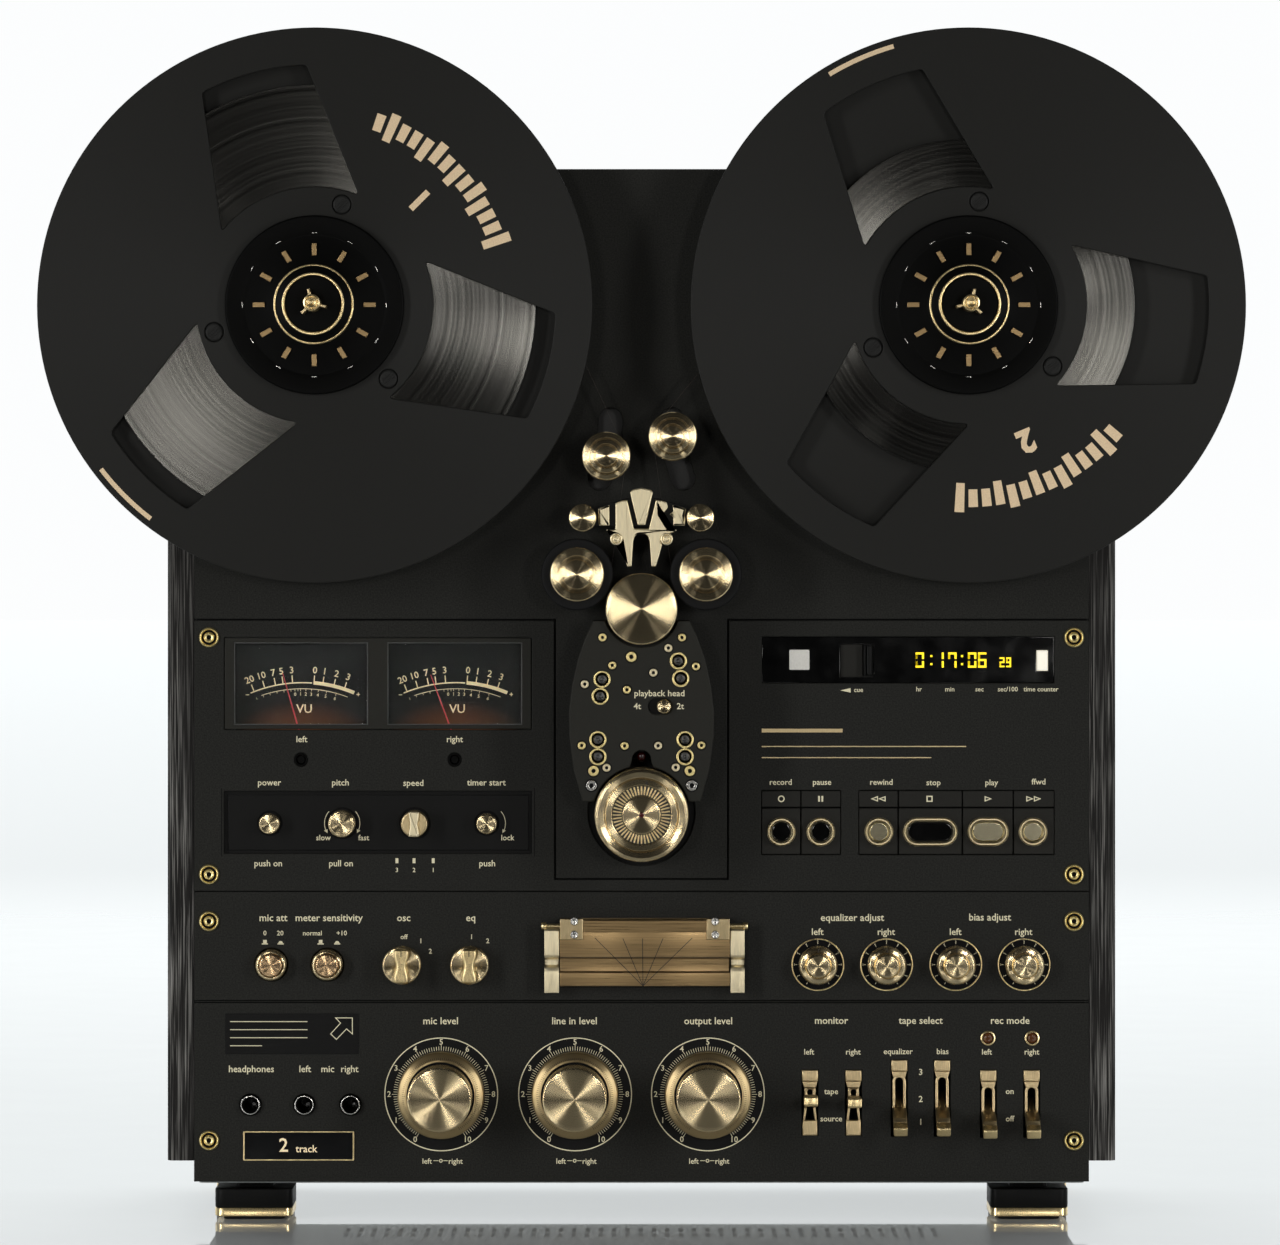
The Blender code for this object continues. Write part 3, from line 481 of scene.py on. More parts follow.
def piece(name, build, look_name, on, main=False, axis=(0.0, 0.0)):
    """An object from a function that fills a bmesh in millimetres. It rides on the body of the CAD node
    named in on, and stands for that node if main."""
    bm = bmesh.new()
    build(bm)
    bmesh.ops.recalc_face_normals(bm, faces=bm.faces)
    bm.transform(Matrix.Scale(MM, 4) @ Matrix.Translation((-axis[0], 0.0, -axis[1])))
    mesh = bpy.data.meshes.new(name)
    bm.to_mesh(mesh)
    bm.free()
    mesh.materials.append(LOOKS[look_name])
    mesh.shade_smooth()
    mesh.set_sharp_from_angle(angle=math.radians(50))
    obj = bpy.data.objects.new(name, mesh)
    bpy.context.scene.collection.objects.link(obj)
    obj.location = (axis[0] * MM, FRONT, axis[1] * MM)
    if on:
        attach(obj, BODY_OF[on])
    if main:
        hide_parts(on)
    return obj


def shape(name, look_name, on, main=False, axis=(0.0, 0.0)):
    """A decorator that makes the piece from the function below it, at once."""
    return lambda build: piece(name, build, look_name, on, main, axis)


def plate(name, look_name, on, outline, d0, d1, edge, holes=(), way=along_y, both=False, main=False,
          axis=(0.0, 0.0)):
    """A piece that is one slab."""
    piece(name, lambda bm: slab(bm, outline, d0, d1, edge, holes, way, both), look_name, on, main, axis)


def lathed(name, center, profile, look_name, on, soft, count=72, closed=False, main=False):
    """A turned piece with its origin on its axis."""
    piece(name, lambda bm: turned(bm, *center, profile, soft, count, closed), look_name, on, main, center)


def lathed_set(name, places, profile, look_name, on, soft, count, closed=False):
    """One piece of equal turned parts."""
    @shape(name, look_name, on)
    def build(bm):
        for x, z in places:
            turned(bm, x, z, profile, soft, count, closed)


# ---------------- stage
def make_camera():
    data = bpy.data.cameras.new("camera")
    data.lens = 174.0
    data.sensor_width = 36.0
    data.shift_x = -0.00117
    data.shift_y = -0.0488
    data.clip_end = 300.0
    bpy.context.scene.view_settings.view_transform = "Standard"
    camera = bpy.data.objects.new("camera", data)
    camera.location = (0.0, -3.07, 0.3224)
    camera.rotation_euler = (math.pi / 2, 0.0, 0.0)
    bpy.context.scene.collection.objects.link(camera)
    bpy.context.scene.camera = camera


def make_light(name, place, target, size, power, color=(1.0, 1.0, 1.0)):
    data = bpy.data.lights.new(name, "AREA")
    data.shape = "RECTANGLE"
    data.size, data.size_y = size
    data.energy = power
    data.color = color
    lamp = bpy.data.objects.new(name, data)
    lamp.location = place
    lamp.rotation_euler = (Vector(target) - Vector(place)).to_track_quat("-Z", "Y").to_euler()
    lamp.visible_camera = False
    bpy.context.scene.collection.objects.link(lamp)


def make_world():
    """Pale behind the deck and dim in front of it, so that polished brass keeps its dark side."""
    world = bpy.data.worlds.new("studio")
    bpy.context.scene.world = world
    world.use_nodes = True
    tree = world.node_tree
    split = add(tree, "SeparateXYZ", {0: add(tree, "TexCoord").outputs["Generated"]})
    behind = ranged(tree, split.outputs["Y"], -0.15, 0.45, 0.0, 1.0)
    around = mixed(tree, behind, (0.012, 0.012, 0.0125), (1.02, 1.06, 1.07))
    shown = mixed(tree, add(tree, "LightPath").outputs["Is Camera Ray"], around, (0.975, 0.985, 0.99))
    feed(tree, tree.nodes["Background"], {"Color": shown})


def floor_look():
    """White under and behind the deck, dark in front of it where the brass would mirror it."""
    made = look("floor_white", (0.86, 0.88, 0.88), 0.02, grain=60.0, spread=0.01, rough_spread=0.008)
    tree = made.node_tree
    base = tree.nodes["Principled BSDF"].inputs["Base Color"]
    split = add(tree, "SeparateXYZ", {0: tree.nodes["Texture Coordinate"].outputs["Object"]})
    white = ranged(tree, split.outputs["Y"], -0.75, -0.25, 0.0, 1.0)
    tree.links.new(mixed(tree, white, (0.05, 0.05, 0.05), base.links[0].from_socket), base)
    return made


def make_floor():
    reach = 30.0
    mesh = bpy.data.meshes.new("floor")
    mesh.from_pydata([(x, y, 0) for x, y in rectangle(-reach, reach, -reach, reach)], [], [(0, 1, 2, 3)])
    mesh.materials.append(floor_look())
    floor = bpy.data.objects.new("floor", mesh)
    bpy.context.scene.collection.objects.link(floor)


def make_stage():
    make_camera()
    make_world()
    make_floor()
    deck = (0.0, 0.0, 0.28)
    make_light("side_left", (-1.75, -1.65, 0.55), deck, (0.35, 1.3), 20.0)
    make_light("side_right", (1.75, -1.65, 0.55), deck, (0.35, 1.3), 16.5)
    make_light("near_left", (-0.42, -2.05, 0.38), deck, (0.16, 0.20), 2.2, (1.0, 0.98, 0.94))
    make_light("near_right", (0.50, -2.05, 0.40), deck, (0.16, 0.20), 2.7, (1.0, 0.98, 0.94))
    make_light("back_fill", (0.0, 2.6, 1.6), deck, (2.2, 1.2), 26.0)


# ---------------- panels
METER_BEZEL = (-202.5, -53.2, 240.1, 284.9)
SWITCH_RECESS = (-202.5, -53, 180, 210.4)
COUNTER_RECESS = (58.3, 200.3, 262.7, 285.3)
KEY_BAYS = ((58, 96.8, 179.4, 210.8), (105.2, 200.3, 179.4, 210.8))
TONGUE = 41.9            # half-width of the middle tongue between the inset lines
INSET_Z = (167.7, 293.5)
LINE = 0.4               # half-width of an inset line
PLATE = (0, 2.9, 0.35)   # front, back and edge radius of a panel plate
PLATE_GAP = (107.6, 108.9)
LAMPS = ((168, 90.6), (189.4, 90.6))


def tension_slot(name):
    x, z = TENSION_PIVOT[name]
    drops = [math.radians(21.2 * i / 8) for i in range(9)]
    path = [(x - SIDES[name] * TENSION_ARM * math.cos(a), z - TENSION_ARM * math.sin(a)) for a in drops]
    return slot_outline(path, 5.8)


def pinch_slot(name):
    pivot = Vector(PINCH_PIVOT[name])
    reach = Vector(PINCH[name]) - pivot
    turns = [-SIDES[name] * math.radians(12.0 * i / 4) for i in range(5)]
    return slot_outline([pivot + Matrix.Rotation(t, 2) @ reach for t in turns], 5)


def make_transport_panel():
    on = "transport_panel"
    top, bottom = PANEL_HIGH.z / MM, PANEL_LOW.z / MM
    low, high = INSET_Z
    upper = [
        (-HALF, top), (-HALF, high + LINE), (LINE - TONGUE, high + LINE), (LINE - TONGUE, low + LINE),
        (TONGUE - LINE, low + LINE), (TONGUE - LINE, high + LINE), (HALF, high + LINE), (HALF, top),
    ]
    lower = [
        (-HALF, high - LINE), (-HALF, bottom), (HALF, bottom), (HALF, high - LINE),
        (TONGUE + LINE, high - LINE), (TONGUE + LINE, low - LINE), (-TONGUE - LINE, low - LINE),
        (-TONGUE - LINE, high - LINE),
    ]
    upper_holes = [circle(*REELS[n], 12) for n in REELS] + [tension_slot(n) for n in REELS]
    upper_holes += [pinch_slot(n) for n in REELS] + [circle(*CAPSTAN, 9), circle(*RETURN, 26, 96)]
    recesses = (METER_BEZEL, SWITCH_RECESS, COUNTER_RECESS, *KEY_BAYS)
    lower_holes = [softened(rectangle(*r), 0.6, 2) for r in recesses]
    lower_holes += [circle(x, TRIMMER_Z, 3.4, 32) for x, _ in NEEDLES.values()]
    plate("transport_plate", "panel_paint", on, upper, *PLATE, upper_holes, main=True)
    plate("control_plate", "panel_paint", on, lower, *PLATE, lower_holes)
    x0, x1, z0, z1 = SWITCH_RECESS

    # near-black strips behind the plates' seams, and thin dark lines beside the switch recess: painted shade in
    # the gaps
    @shape("seam_shade_backing", "gap_black", on)
    def seams(bm):
        for seam in (
            (-HALF + 1, -TONGUE - 1.5, high - 1.5, high + 1.5), (TONGUE + 1.5, HALF - 1, high - 1.5, high + 1.5),
            (-TONGUE - 1.4, -TONGUE + 1.4, low - 1.4, high + 1.4),
            (TONGUE - 1.4, TONGUE + 1.4, low - 1.4, high + 1.4),
            (-TONGUE + 1.5, TONGUE - 1.5, low - 1.4, low + 1.4), (-HALF + 1, HALF - 1, 159.5, 164),
        ):
            slab(bm, rectangle(*seam), 3, 3.4, 0)
        for a, b in ((x0 - 1.3, x0 - 0.9), (x1 + 0.9, x1 + 1.3)):
            mark(bm, rectangle(a, b, z0 - 1.3, z1 + 1.3), -0.02)

    @shape("recess_floors", "recess_black", on)
    def floors(bm):
        slab(bm, circle(*RETURN, 27.5, 64), 2.95, 3.5, 0, [circle(*RETURN, 9, 32)])
        shafts = [circle(x, SWITCH_Z, 3.2, 24) for x in SWITCH_X]
        slab(bm, rectangle(x0 - 1, x1 + 1, z0 - 1, z1 + 1), 2.95, 3.3, 0, shafts)
        slab(bm, rectangle(x0 + 2, x1 - 1.7, z0 + 1.6, z1 - 2), 1.7, 2.9, 0.25, shafts)


def make_amplifier_panel():
    on = "amplifier_panel"
    low, high = (c.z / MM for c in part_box(on))
    gap = PLATE_GAP
    lower_holes = [circle(x, JACK_Z, 5.2, 40) for x in JACK_X]
    lower_holes += [circle(x, LEVEL_Z, 7.2, 32) for x in LEVEL_X.values()]
    lower_holes += [rectangle(x - 4.1, x + 4.1, z0, z1) for x, z0, z1, _ in LEVERS.values()]
    lower_holes += [circle(*p, 3, 32) for p in LAMPS]
    upper_holes = [circle(x, ROW_Z, 8.1, 48) for x in ROW_BUTTONS.values()]
    upper_holes += [circle(x, ROW_Z, 3.5, 24) for x in (*ROW_KNOBS.values(), *ADJUST.values())]
    upper = rectangle(-HALF, HALF, gap[1], high)
    lower = rectangle(-HALF, HALF, low, gap[0])
    fillet = rectangle(-HALF, HALF, gap[0] + 0.42, gap[1] - 0.42)
    plate("record_plate", "panel_paint", on, upper, *PLATE, upper_holes, main=True)
    plate("lever_plate", "panel_paint", on, lower, *PLATE, lower_holes)
    plate("plate_fillet", "panel_paint", on, fillet, 0.35, 2.9, 0.1)


SCREW_X = 209.7
SCREW_PLACES = {
    "transport_screws": (284.9, 170),
    "amplifier_screws": (147.3, 41),
}


def make_panel_screws():
    cup = ((3.5, -0.2), (3.6, -0.8), (4.2, -1.6), (4.8, -0.9), (4.95, 0.2))
    head = ((1.1, 0.2), (1.15, -1.2), (1.9, -1.5), (2.5, -1), (2.7, 0.3), (1.1, 0.4))
    for name, heights in SCREW_PLACES.items():
        @shape(name, "screw_brass", "transport_panel")
        def screws(bm):
            for z in heights:
                for x in (-SCREW_X, SCREW_X):
                    turned(bm, x, z, cup, 0.3, 40, True)
                    turned(bm, x, z, head, 0.15, 36, True)

    # near-black discs between each screw head and its cup washer: painted shade in the gap
    @shape("panel_screw_shade", "gap_black", "transport_panel")
    def wells(bm):
        for heights in SCREW_PLACES.values():
            for z in heights:
                for x in (-SCREW_X, SCREW_X):
                    slab(bm, circle(x, z, 3.6, 32), -0.3, -0.05, 0)


# ---------------- cabinet
CAD_LOOKS = {"case": "case_metal", "drive_chassis": "casting_painted_shade",
             "side_panel_left": "stained_wood", "side_panel_right": "stained_wood"}
PHONO_X = (-150, -130)
PHONO_Z = (60, 80)


def make_cabinet():
    for node, name in CAD_LOOKS.items():
        frame["nodes"][node].data.materials.clear()
        frame["nodes"][node].data.materials.append(LOOKS[name])
    low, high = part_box("case")
    y0, y1 = (low.y - FRONT) / MM + 1, (high.y - FRONT) / MM - 10
    middles = [-150.0 + 6.8 * i for i in range(45)]
    slots = [rectangle(x - 1.1, x + 1.1, row, row + 19) for row in (128, 152) for x in middles]
    outline = softened(rectangle(2 - HALF, HALF - 2, y0, y1), 3)
    plate("base_plate", "base_grey", "case", outline, 20, 20.9, 0.2, slots, along_z)
    holes = [rectangle(136, 164, 49.5, 70.5)] + [circle(*p, 4.6, 32) for p in grid(PHONO_X, PHONO_Z)]
    for i in range(22):
        x = -115.5 + 11.0 * i
        holes += [slot_outline(((x, z0), (x, z1)), 2.2, 6) for z0, z1 in ((400, 440), (200, 230))]
    plate("rear_cover", "case_metal", "case", softened(rectangle(-HALF + 4, HALF - 4, 26, 506), 3),
          192.9, 192.2, 0.25, holes)
    lathed_set("rear_screws", grid((-205, -70, 70, 205), (36, 266, 496)),
               ((0, 193.4), (1, 193.4), (1.2, 194.3), (2.9, 194.2), (3.4, 193), (0, 192.9)),
               "steel", "case", 0.2, 28)
    lathed_set("phono_sockets", grid(PHONO_X, PHONO_Z),
               ((2.4, 199.8), (4.4, 199.8), (4.4, 193.5), (5.6, 193.5), (5.6, 192.5), (2.4, 192.5)),
               "polished_brass", "case", 0.2, 36, True)
    plate("mains_inlet_rim", "socket_plastic", "case", softened(rectangle(133.5, 166.5, 47, 73), 2),
          194.2, 192.4, 0.4, [softened(rectangle(137.5, 162.5, 51, 69), 3)])

    @shape("mains_inlet_pins", "steel", "case")
    def prongs(bm):
        for x, z in ((145, 57.5), (150, 63), (155, 57.5)):
            bar(bm, x - 1, x + 1, 176, 190, z - 2, z + 2, 0.3)


FOOT_LEVELS = {          # each part's look and its (z, half-width) levels
    "pad": ("rubber_black", ((0, 14.4), (0.3, 15), (1.8, 15))),
    "band": ("polished_brass", ((1.8, 18.4), (2.2, 19), (5.7, 19), (6.1, 18.6))),
    "block": ("recess_black", ((6.1, 18.8), (6.5, 19), (14.9, 19), (15.4, 18.4), (15.4, 9.2), (20.7, 9.2))),
}
FEET = {"front": (189.5, 41), "rear": (196.8, 158)}


def make_feet():
    for name, side in SIDES.items():
        for place, (x, y) in FEET.items():
            for part, (look_name, levels) in FOOT_LEVELS.items():
                @shape(f"foot_{place}_{name}_{part}", look_name, f"foot_{place}_{name}", part == "block")
                def build(bm):
                    made = []
                    for z, half in levels:
                        square = rectangle(side * x - half, side * x + half, y - half, y + half)
                        made.append([bm.verts.new((u, v, z)) for u, v in softened(square, half * 0.26, 5)])
                    for a, b in zip(made, made[1:]):
                        walls(bm, a, b)
                    bm.faces.new(made[0])
                    bm.faces.new(made[-1])


# ---------------- reels
REEL_BACK = (-22.2, -21)
REEL_FRONT = (-30, -28.8)
REEL_PRINT_Y = -30.06


def window(center, middle):
    """One flange window with rounded corners; its sides spread towards the hub."""
    points = []
    for r, half_wide, way in ((57, 34, 1), (115.5, 26, -1)):
        half = math.degrees(math.asin(half_wide / r))
        points += arc(center, r, middle - half, middle + half, 14)[::way]
    return softened(points, 2.5)


def make_reel(name):
    center = REELS[name]
    on = f"reel_{name}"
    windows = [window(center, WINDOWS_AT[name] + 120 * k) for k in range(3)]
    screw_places = [point(center, 50, SCREWS_AT[name] + 120 * k) for k in range(3)]
    wells = [circle(*p, 4.7, 32) for p in screw_places]
    rim, hub = circle(*center, 133.35, 160), circle(*center, 38.4, 80)
    plate(f"{name}_reel_front_flange", "reel_satin", on, rim, *REEL_FRONT, 0.45, [hub, *windows, *wells],
          both=True, main=True, axis=center)
    plate(f"{name}_reel_back_flange", "reel_satin", on, rim, *REEL_BACK, 0.45, [hub], both=True, axis=center)
    core = ((41, -28.7), (56, -28.7), (56, -22.3), (41, -22.3))
    lathed(f"{name}_reel_core", center, core, "hub_black", on, 0.2, 96, True)
    wound = ((56.2, -28.4), (PACK_R[name], -28.4), (PACK_R[name], -22.6), (56.2, -22.6))
    lathed(f"{name}_tape_pack", center, wound, "tape_wound", on, 0.1, 128, True)

    @shape(f"{name}_reel_screws", "case_metal", on)
    def screws(bm):
        for x, z in screw_places:
            turned(bm, x, z, ((0, -29.3), (3.6, -29.5), (4.4, -29), (4.4, -28.5), (0, -28.5)), 0.3, 32)
            for turn in (-1.3, 0, 1.3):
                cut = rectangle(x - 3, x + 3, z + turn - 0.2, z + turn + 0.2)
                slab(bm, rotated(cut, (x, z), 40), -29.75, -29.3, 0.1)

    @shape(f"{name}_reel_marks", "print_copper", on)
    def marks(bm):
        middle = NUMBER_AT[name]
        number = {"left": "1", "right": "2"}[name]
        label(bm, number, *point(center, 70.5, middle), 15, -30.05, middle - 90, heft=0.05)
        for i in range(14):
            inner = 88.5 if i % 3 else 85.5
            outer = 97.0 if i % 4 else 99.5
            at = middle - 25.5 + 51.0 * i / 13
            mark(bm, band(center, inner, outer, at - 1.35, at + 1.35, 3), REEL_PRINT_Y)
        at = RIM_MARK_AT[name]
        mark(bm, band(center, 128.2, 130.4, at - 7.5, at + 7.5, 16), REEL_PRINT_Y)


HUB = (
    (0, -45), (13.5, -45), (13.5, -42.6), (18.2, -41), (18.2, -35), (20, -34.4), (33.5, -32.6),
    (36, -33.2), (42.4, -33.5), (43, -33), (43, -30.3), (37.6, -30.3), (37.6, -20.7), (46, -20.7),
    (46, -15), (11, -13), (11, 8), (5, 8), (5, 50), (0, 50),
)
HUB_RINGS = {            # each ring's profile and corner radius
    "inner": (((13.5, -44.6), (13.6, -46), (14.9, -46), (14.9, -42.3), (13.5, -42.3)), 0.3),
    "outer": (((18.2, -40.6), (18.3, -41.3), (19.2, -41.2), (19.2, -34.4), (18.2, -34.4)), 0.25),
}
SPINDLE_TIP = (
    (0, -58.4), (1.1, -58.6), (1.3, -59.6), (2.4, -59.9), (2.6, -59.2), (3, -59.2), (3.2, -59.9), (4, -59.6),
    (4, -44.9), (0, -44.9),
)
LUGS_AT = {"left": 105, "right": 75}


def make_hub(name):
    center = REELS[name]
    on = f"hub_adapter_{name}"
    lathed(f"{name}_hub", center, HUB, "hub_black", on, 0.4, 96, main=True)
    for ring, (profile, soft) in HUB_RINGS.items():
        lathed(f"{name}_hub_{ring}_ring", center, profile, "polished_brass", on, soft, 96, True)
    lathed(f"{name}_spindle_tip", center, SPINDLE_TIP, "polished_brass", on, 0.15, 48)
    for part, look_name, count, first, (r0, r1, half), depths in (
        ("spindle_lugs", "satin_brass", 3, LUGS_AT[name], (3.5, 7, 0.7), (-56, -45.1, 0.25)),
        ("hub_marks", "brushed_brass", 12, 0, (23.7, 29.5, 1.2), (-34.6, -33.2, 0.15)),
        ("hub_glints", "steel", 12, 0, (34.3, 34.7, 1.4), (-33.4, -32.6, 0.1)),
    ):
        @shape(f"{name}_{part}", look_name, on)
        def blades(bm):
            for i in range(count):
                slab(bm, ray(center, r0, r1, half, first + 360 // count * i), *depths)


# ---------------- tape path
TENSION_ROLLER = (
    (0, -37.2), (4.9, -37.2), (5.1, -36.2), (5.8, -36.2), (6, -36.9), (8, -36.5), (8.2, -35.6), (8.9, -35.6),
    (9, -36.1), (11.2, -35.6), (11.65, -35), (11.65, -33.5), (9.5, -33.3), (9.5, -17.5), (11.65, -17.3),
    (11.65, -15), (3.4, -15), (3.4, 7), (0, 7),
)
PINCH_CAP = (
    (0, -36.2), (7, -36.2), (7.1, -35), (8.9, -35), (9.1, -36.9), (12.4, -37), (12.95, -36.5),
    (12.95, -34.4), (0, -34.4),
)
PINCH_TYRE = (
    (3, -34.3), (16.6, -34.3), (17.3, -33.6), (17.3, -17.6), (16.8, -17), (4, -15.5), (4, 7), (3, 7),
)


def swing_arm(bm, end, pivot, boss, y0, y1, pin, pin_y):
    """A lever from a roller's shaft to its pivot behind the panel, with the pin it turns on."""
    way = math.degrees(math.atan2(end[1] - pivot[1], end[0] - pivot[0]))
    outline = arc(end, 5.5, way - 90, way + 90, 10) + arc(pivot, boss, way + 90, way + 270, 10)
    slab(bm, outline, y0, y1, 0.4)
    turned(bm, *pivot, ((0, pin_y), (pin, pin_y), (pin, 22), (0, 22)), 0.3, 24)


def make_tension_arm(name):
    on = f"tension_arm_{name}"
    lathed(f"{name}_tension_roller", TENSION[name], TENSION_ROLLER, "turned_brass", on, 0.12, main=True)
    ends = TENSION[name], TENSION_PIVOT[name]
    piece(f"{name}_tension_lever", lambda bm: swing_arm(bm, *ends, 8, 5.5, 8.5, 3.5, 7), "dark_steel", on)


def make_pinch_roller(name):
    on = f"pinch_roller_{name}"
    lathed(f"{name}_pinch_cap", PINCH[name], PINCH_CAP, "turned_brass", on, 0.15, main=True)
    lathed(f"{name}_pinch_tyre", PINCH[name], PINCH_TYRE, "rubber_black", on, 0.4, 72, True)
    ends = PINCH[name], PINCH_PIVOT[name]
    piece(f"{name}_pinch_arm", lambda bm: swing_arm(bm, *ends, 6, 4.8, 8.8, 3, 8), "dark_steel", on)


CAPSTAN_DISC = (
    (0, -38), (16.6, -38), (17.2, -37.4), (17.2, -34.2), (16.9, -34), (16.9, -16), (8, -14),
    (8, 50), (0, 50),
)
RETURN_RIM = (
    (0, -35.4), (14.2, -35.4), (14.4, -35.9), (17.3, -35.9), (17.45, -35.2), (17.9, -35.2), (18.1, -36.6),
    (20.6, -37), (21.9, -36.7), (22.5, -36), (22.5, -33.5), (21.3, -33.3), (21.3, -17), (22.5, -16.8),
    (22.5, -14), (8, -12), (8, 26), (0, 26),
)
RETURN_BOSS = ((0, -36.2), (8.9, -36.2), (9.2, -35.9), (9.2, -35.3), (0, -35.3))


def make_capstan():
    lathed("capstan_disc", CAPSTAN, CAPSTAN_DISC, "turned_brass", "capstan", 0.25, 96, main=True)


def make_return_roller():
    on = "return_roller"
    lathed("return_roller_rim", RETURN, RETURN_RIM, "turned_brass", on, 0.15, 96, main=True)
    lathed("return_roller_boss", RETURN, RETURN_BOSS, "turned_brass", on, 0.15)

    @shape("return_roller_strobe", "polished_brass", on)
    def strobe(bm):
        for i in range(48):
            slab(bm, ray(RETURN, 9.6, 13.8, 0.38, 7.5 * i), -35.85, -35.3, 0.12)

    plate("return_roller_strobe_floor", "print_dark", on, circle(*RETURN, 14.1, 72), -35.5, -35.42, 0,
          [circle(*RETURN, 9.2, 72)])
    index = [(14.8, RETURN[1] - 0.8), (16.9, RETURN[1]), (14.8, RETURN[1] + 0.8)]
    piece("return_roller_index", lambda bm: mark(bm, rotated(index, RETURN, 81), -35.96), "print_dark", on)
    lathed("return_roller_centre", RETURN, ((0, -36.6), (1.2, -36.4), (1.3, -36.1), (0, -36.1)), "lens_red", on,
           0.1, 24)


# ---------------- head block
FLANK = ((23.3, 293.3), (27, 285), (30.5, 275), (33.4, 262), (34.8, 250), (34.6, 238),
         (32.6, 222), (28.4, 206.6))
FLANK_INNER = ((24.9, 206.6), (22.1, 293.3))
BORED = ((-18.9, 265.2), (-19.8, 257.1), (17.7, 274), (18.8, 265.6),
         (-20.9, 236.3), (-20.9, 228.1), (20.9, 236.3), (20.9, 228.1))
COVER_SCREWS = {         # look, radius and places
    "cover_screws_brass": ("screw_brass", 2, ((-14, 271.9), (-7, 260.2), (-28.7, 233.5), (-8.1, 233.3),
                                                (28.7, 233.6), (-18.7, 285.3), (19.4, 285.3), (26.1, 271.4))),
    "cover_screws_large": ("screw_brass", 2.6, ((-4.9, 276), (-23, 221.3), (23.2, 221.3))),
    "cover_screws_pale": ("champagne", 2, ((-27.2, 262.9), (5.7, 268.4), (12.9, 280.2), (8, 233.4),
                                             (-16.7, 222.8), (16.4, 223))),
    "cover_screws_steel": ("steel", 2.7, ((-24, 214.3), (24.1, 214.3))),
}
COVER_PRINT_Y = -34.06


def mirrored(points):
    return [(-x, z) for x, z in points[::-1]]


def make_head_block():
    on = "head_block"
    bottom, top = FLANK[-1][1], FLANK[0][1]
    under = math.degrees(math.asin((bottom - RETURN[1]) / 23.5))
    over = math.degrees(math.asin((CAPSTAN[1] - top) / 18.4))
    right_arc = arc(RETURN, 23.5, under, 76, 20)
    lamp = [(4.9, 225), *arc((0, 226.6), 4.6, 0, 180, 14), (-4.9, 225)]
    crown = arc(CAPSTAN, 18.4, 180.0 + over, 360.0 - over, 32)
    outline = [*FLANK, *right_arc, *lamp, *mirrored(right_arc), *mirrored(FLANK), *crown]
    path = ((SELECTOR[0] - 3.9, SELECTOR[1]), SELECTOR)
    holes = [circle(*p, 3.5, 36) for p in BORED] + [slot_outline(path, 3.8)]
    plate("head_cover", "cover_paint", on, outline, -34, -31, 0.5, holes, main=True)

    @shape("head_base", "recess_black", on)
    def base(bm):
        slab(bm, outline, -16.9, -0.3, 0.3)
        core = [(15, top - 6), (17.6, bottom + 24), (-17.6, bottom + 24), (-15, top - 6)]
        slab(bm, core, -31.1, -16.8, 0)
        for side in SIDES.values():
            wall = [(side * x, z) for x, z in offset([*FLANK, *FLANK_INNER], -0.4)]
            slab(bm, wall, -31.1, -16.8, 0)

    lathed_set("adjuster_rings", BORED, ((3.2, -34.6), (4.1, -34.6), (4.2, -33.9), (3.3, -30.8), (3, -30.8)),
               "screw_brass", on, 0.15, 40, True)
    lathed_set("adjuster_screws", BORED,
               ((0, -31.9), (0.7, -31.9), (0.9, -32.5), (2.2, -32.3), (2.4, -30.9), (0, -30.9)), "dark_steel", on,
               0.15, 24)
    for name, (look_name, r, places) in COVER_SCREWS.items():
        head = ((0, -33.8), (r * 0.36, -33.8), (r * 0.42, -34.5), (r * 0.9, -34.5), (r, -34.1), (r, -33.7),
                (0, -33.6))
        lathed_set(name, places, head, look_name, on, 0.15, 28)

    # near-black rings round the cover screws' heads: painted shade
    @shape("cover_screw_shade_rings", "gap_black", on)
    def wells(bm):
        for _, r, places in COVER_SCREWS.values():
            for x, z in places:
                mark(bm, circle(x, z, r + 0.5, 28), -34.03)

    strobe_lamp = ((0, -26), (1.7, -25.6), (2.4, -24), (2.4, -17.5), (0, -17.5))
    lathed_set("strobe_lamp", ((0, 228),), strobe_lamp, "lens_red", on, 0.4, 32)
    pin = ((0, -36.9), (2.9, -37), (3.4, -36.4), (3.4, -28.5), (0, -28.5))
    lathed("selector_pin", SELECTOR, pin, "turned_brass", "head_selector", 0.15, 48, main=True)

    @shape("head_cover_print", "print_gold", on)
    def words(bm):
        label(bm, "playback head", 8.6, 258.4, 4.2, COVER_PRINT_Y, width=24)
        label(bm, "4t", -2, 252.2, 4.2, COVER_PRINT_Y)
        label(bm, "2t", 18.6, 252.2, 4.2, COVER_PRINT_Y)


BRACKET_LEFT = (
    (-3.6, 337.4), (-6.9, 351.2), (-9.8, 350.8), (-12.5, 349.6), (-12.5, 337), (-17, 336.7), (-14.6, 335.3),
    (-11.5, 334.9), (-9, 331.5), (-10, 330), (-8.8, 325.4), (-6.9, 319.2), (-4.7, 319.2), (-4.3, 326),
    (-3.9, 331.6), (-3.2, 333.7), (-1.8, 334.9),
)
BRACKET_EAR = (          # the right side is the left one's mirror, apart from its notched ear
    (12.5, 341.6), (10.9, 343.4), (8.1, 344.3), (11.1, 345.3), (12.7, 347.7), (12.1, 350.2), (9.6, 351),
    (6.9, 351.2), (3.6, 337.4),
)
BRACKET = (*BRACKET_LEFT, *mirrored(BRACKET_LEFT[4:]), *BRACKET_EAR)
WEDGE = ((-1.8, 339.2), (1.8, 339.2), (5.6, 354.9), (4.2, 356.2), (0, 357), (-4.2, 356.2), (-5.6, 354.9))
ARM_PLATES = (
    ((-15.4, 348.8), (-20.9, 347), (-20.4, 338.9), (-15.4, 338.9)),
    ((15, 348.8), (15.3, 345.8), (13.5, 344.3), (15.3, 342.9), (15.2, 338.9), (20.7, 338.9), (21.2, 341.7),
     (20.7, 343.6), (21.4, 347)),
)
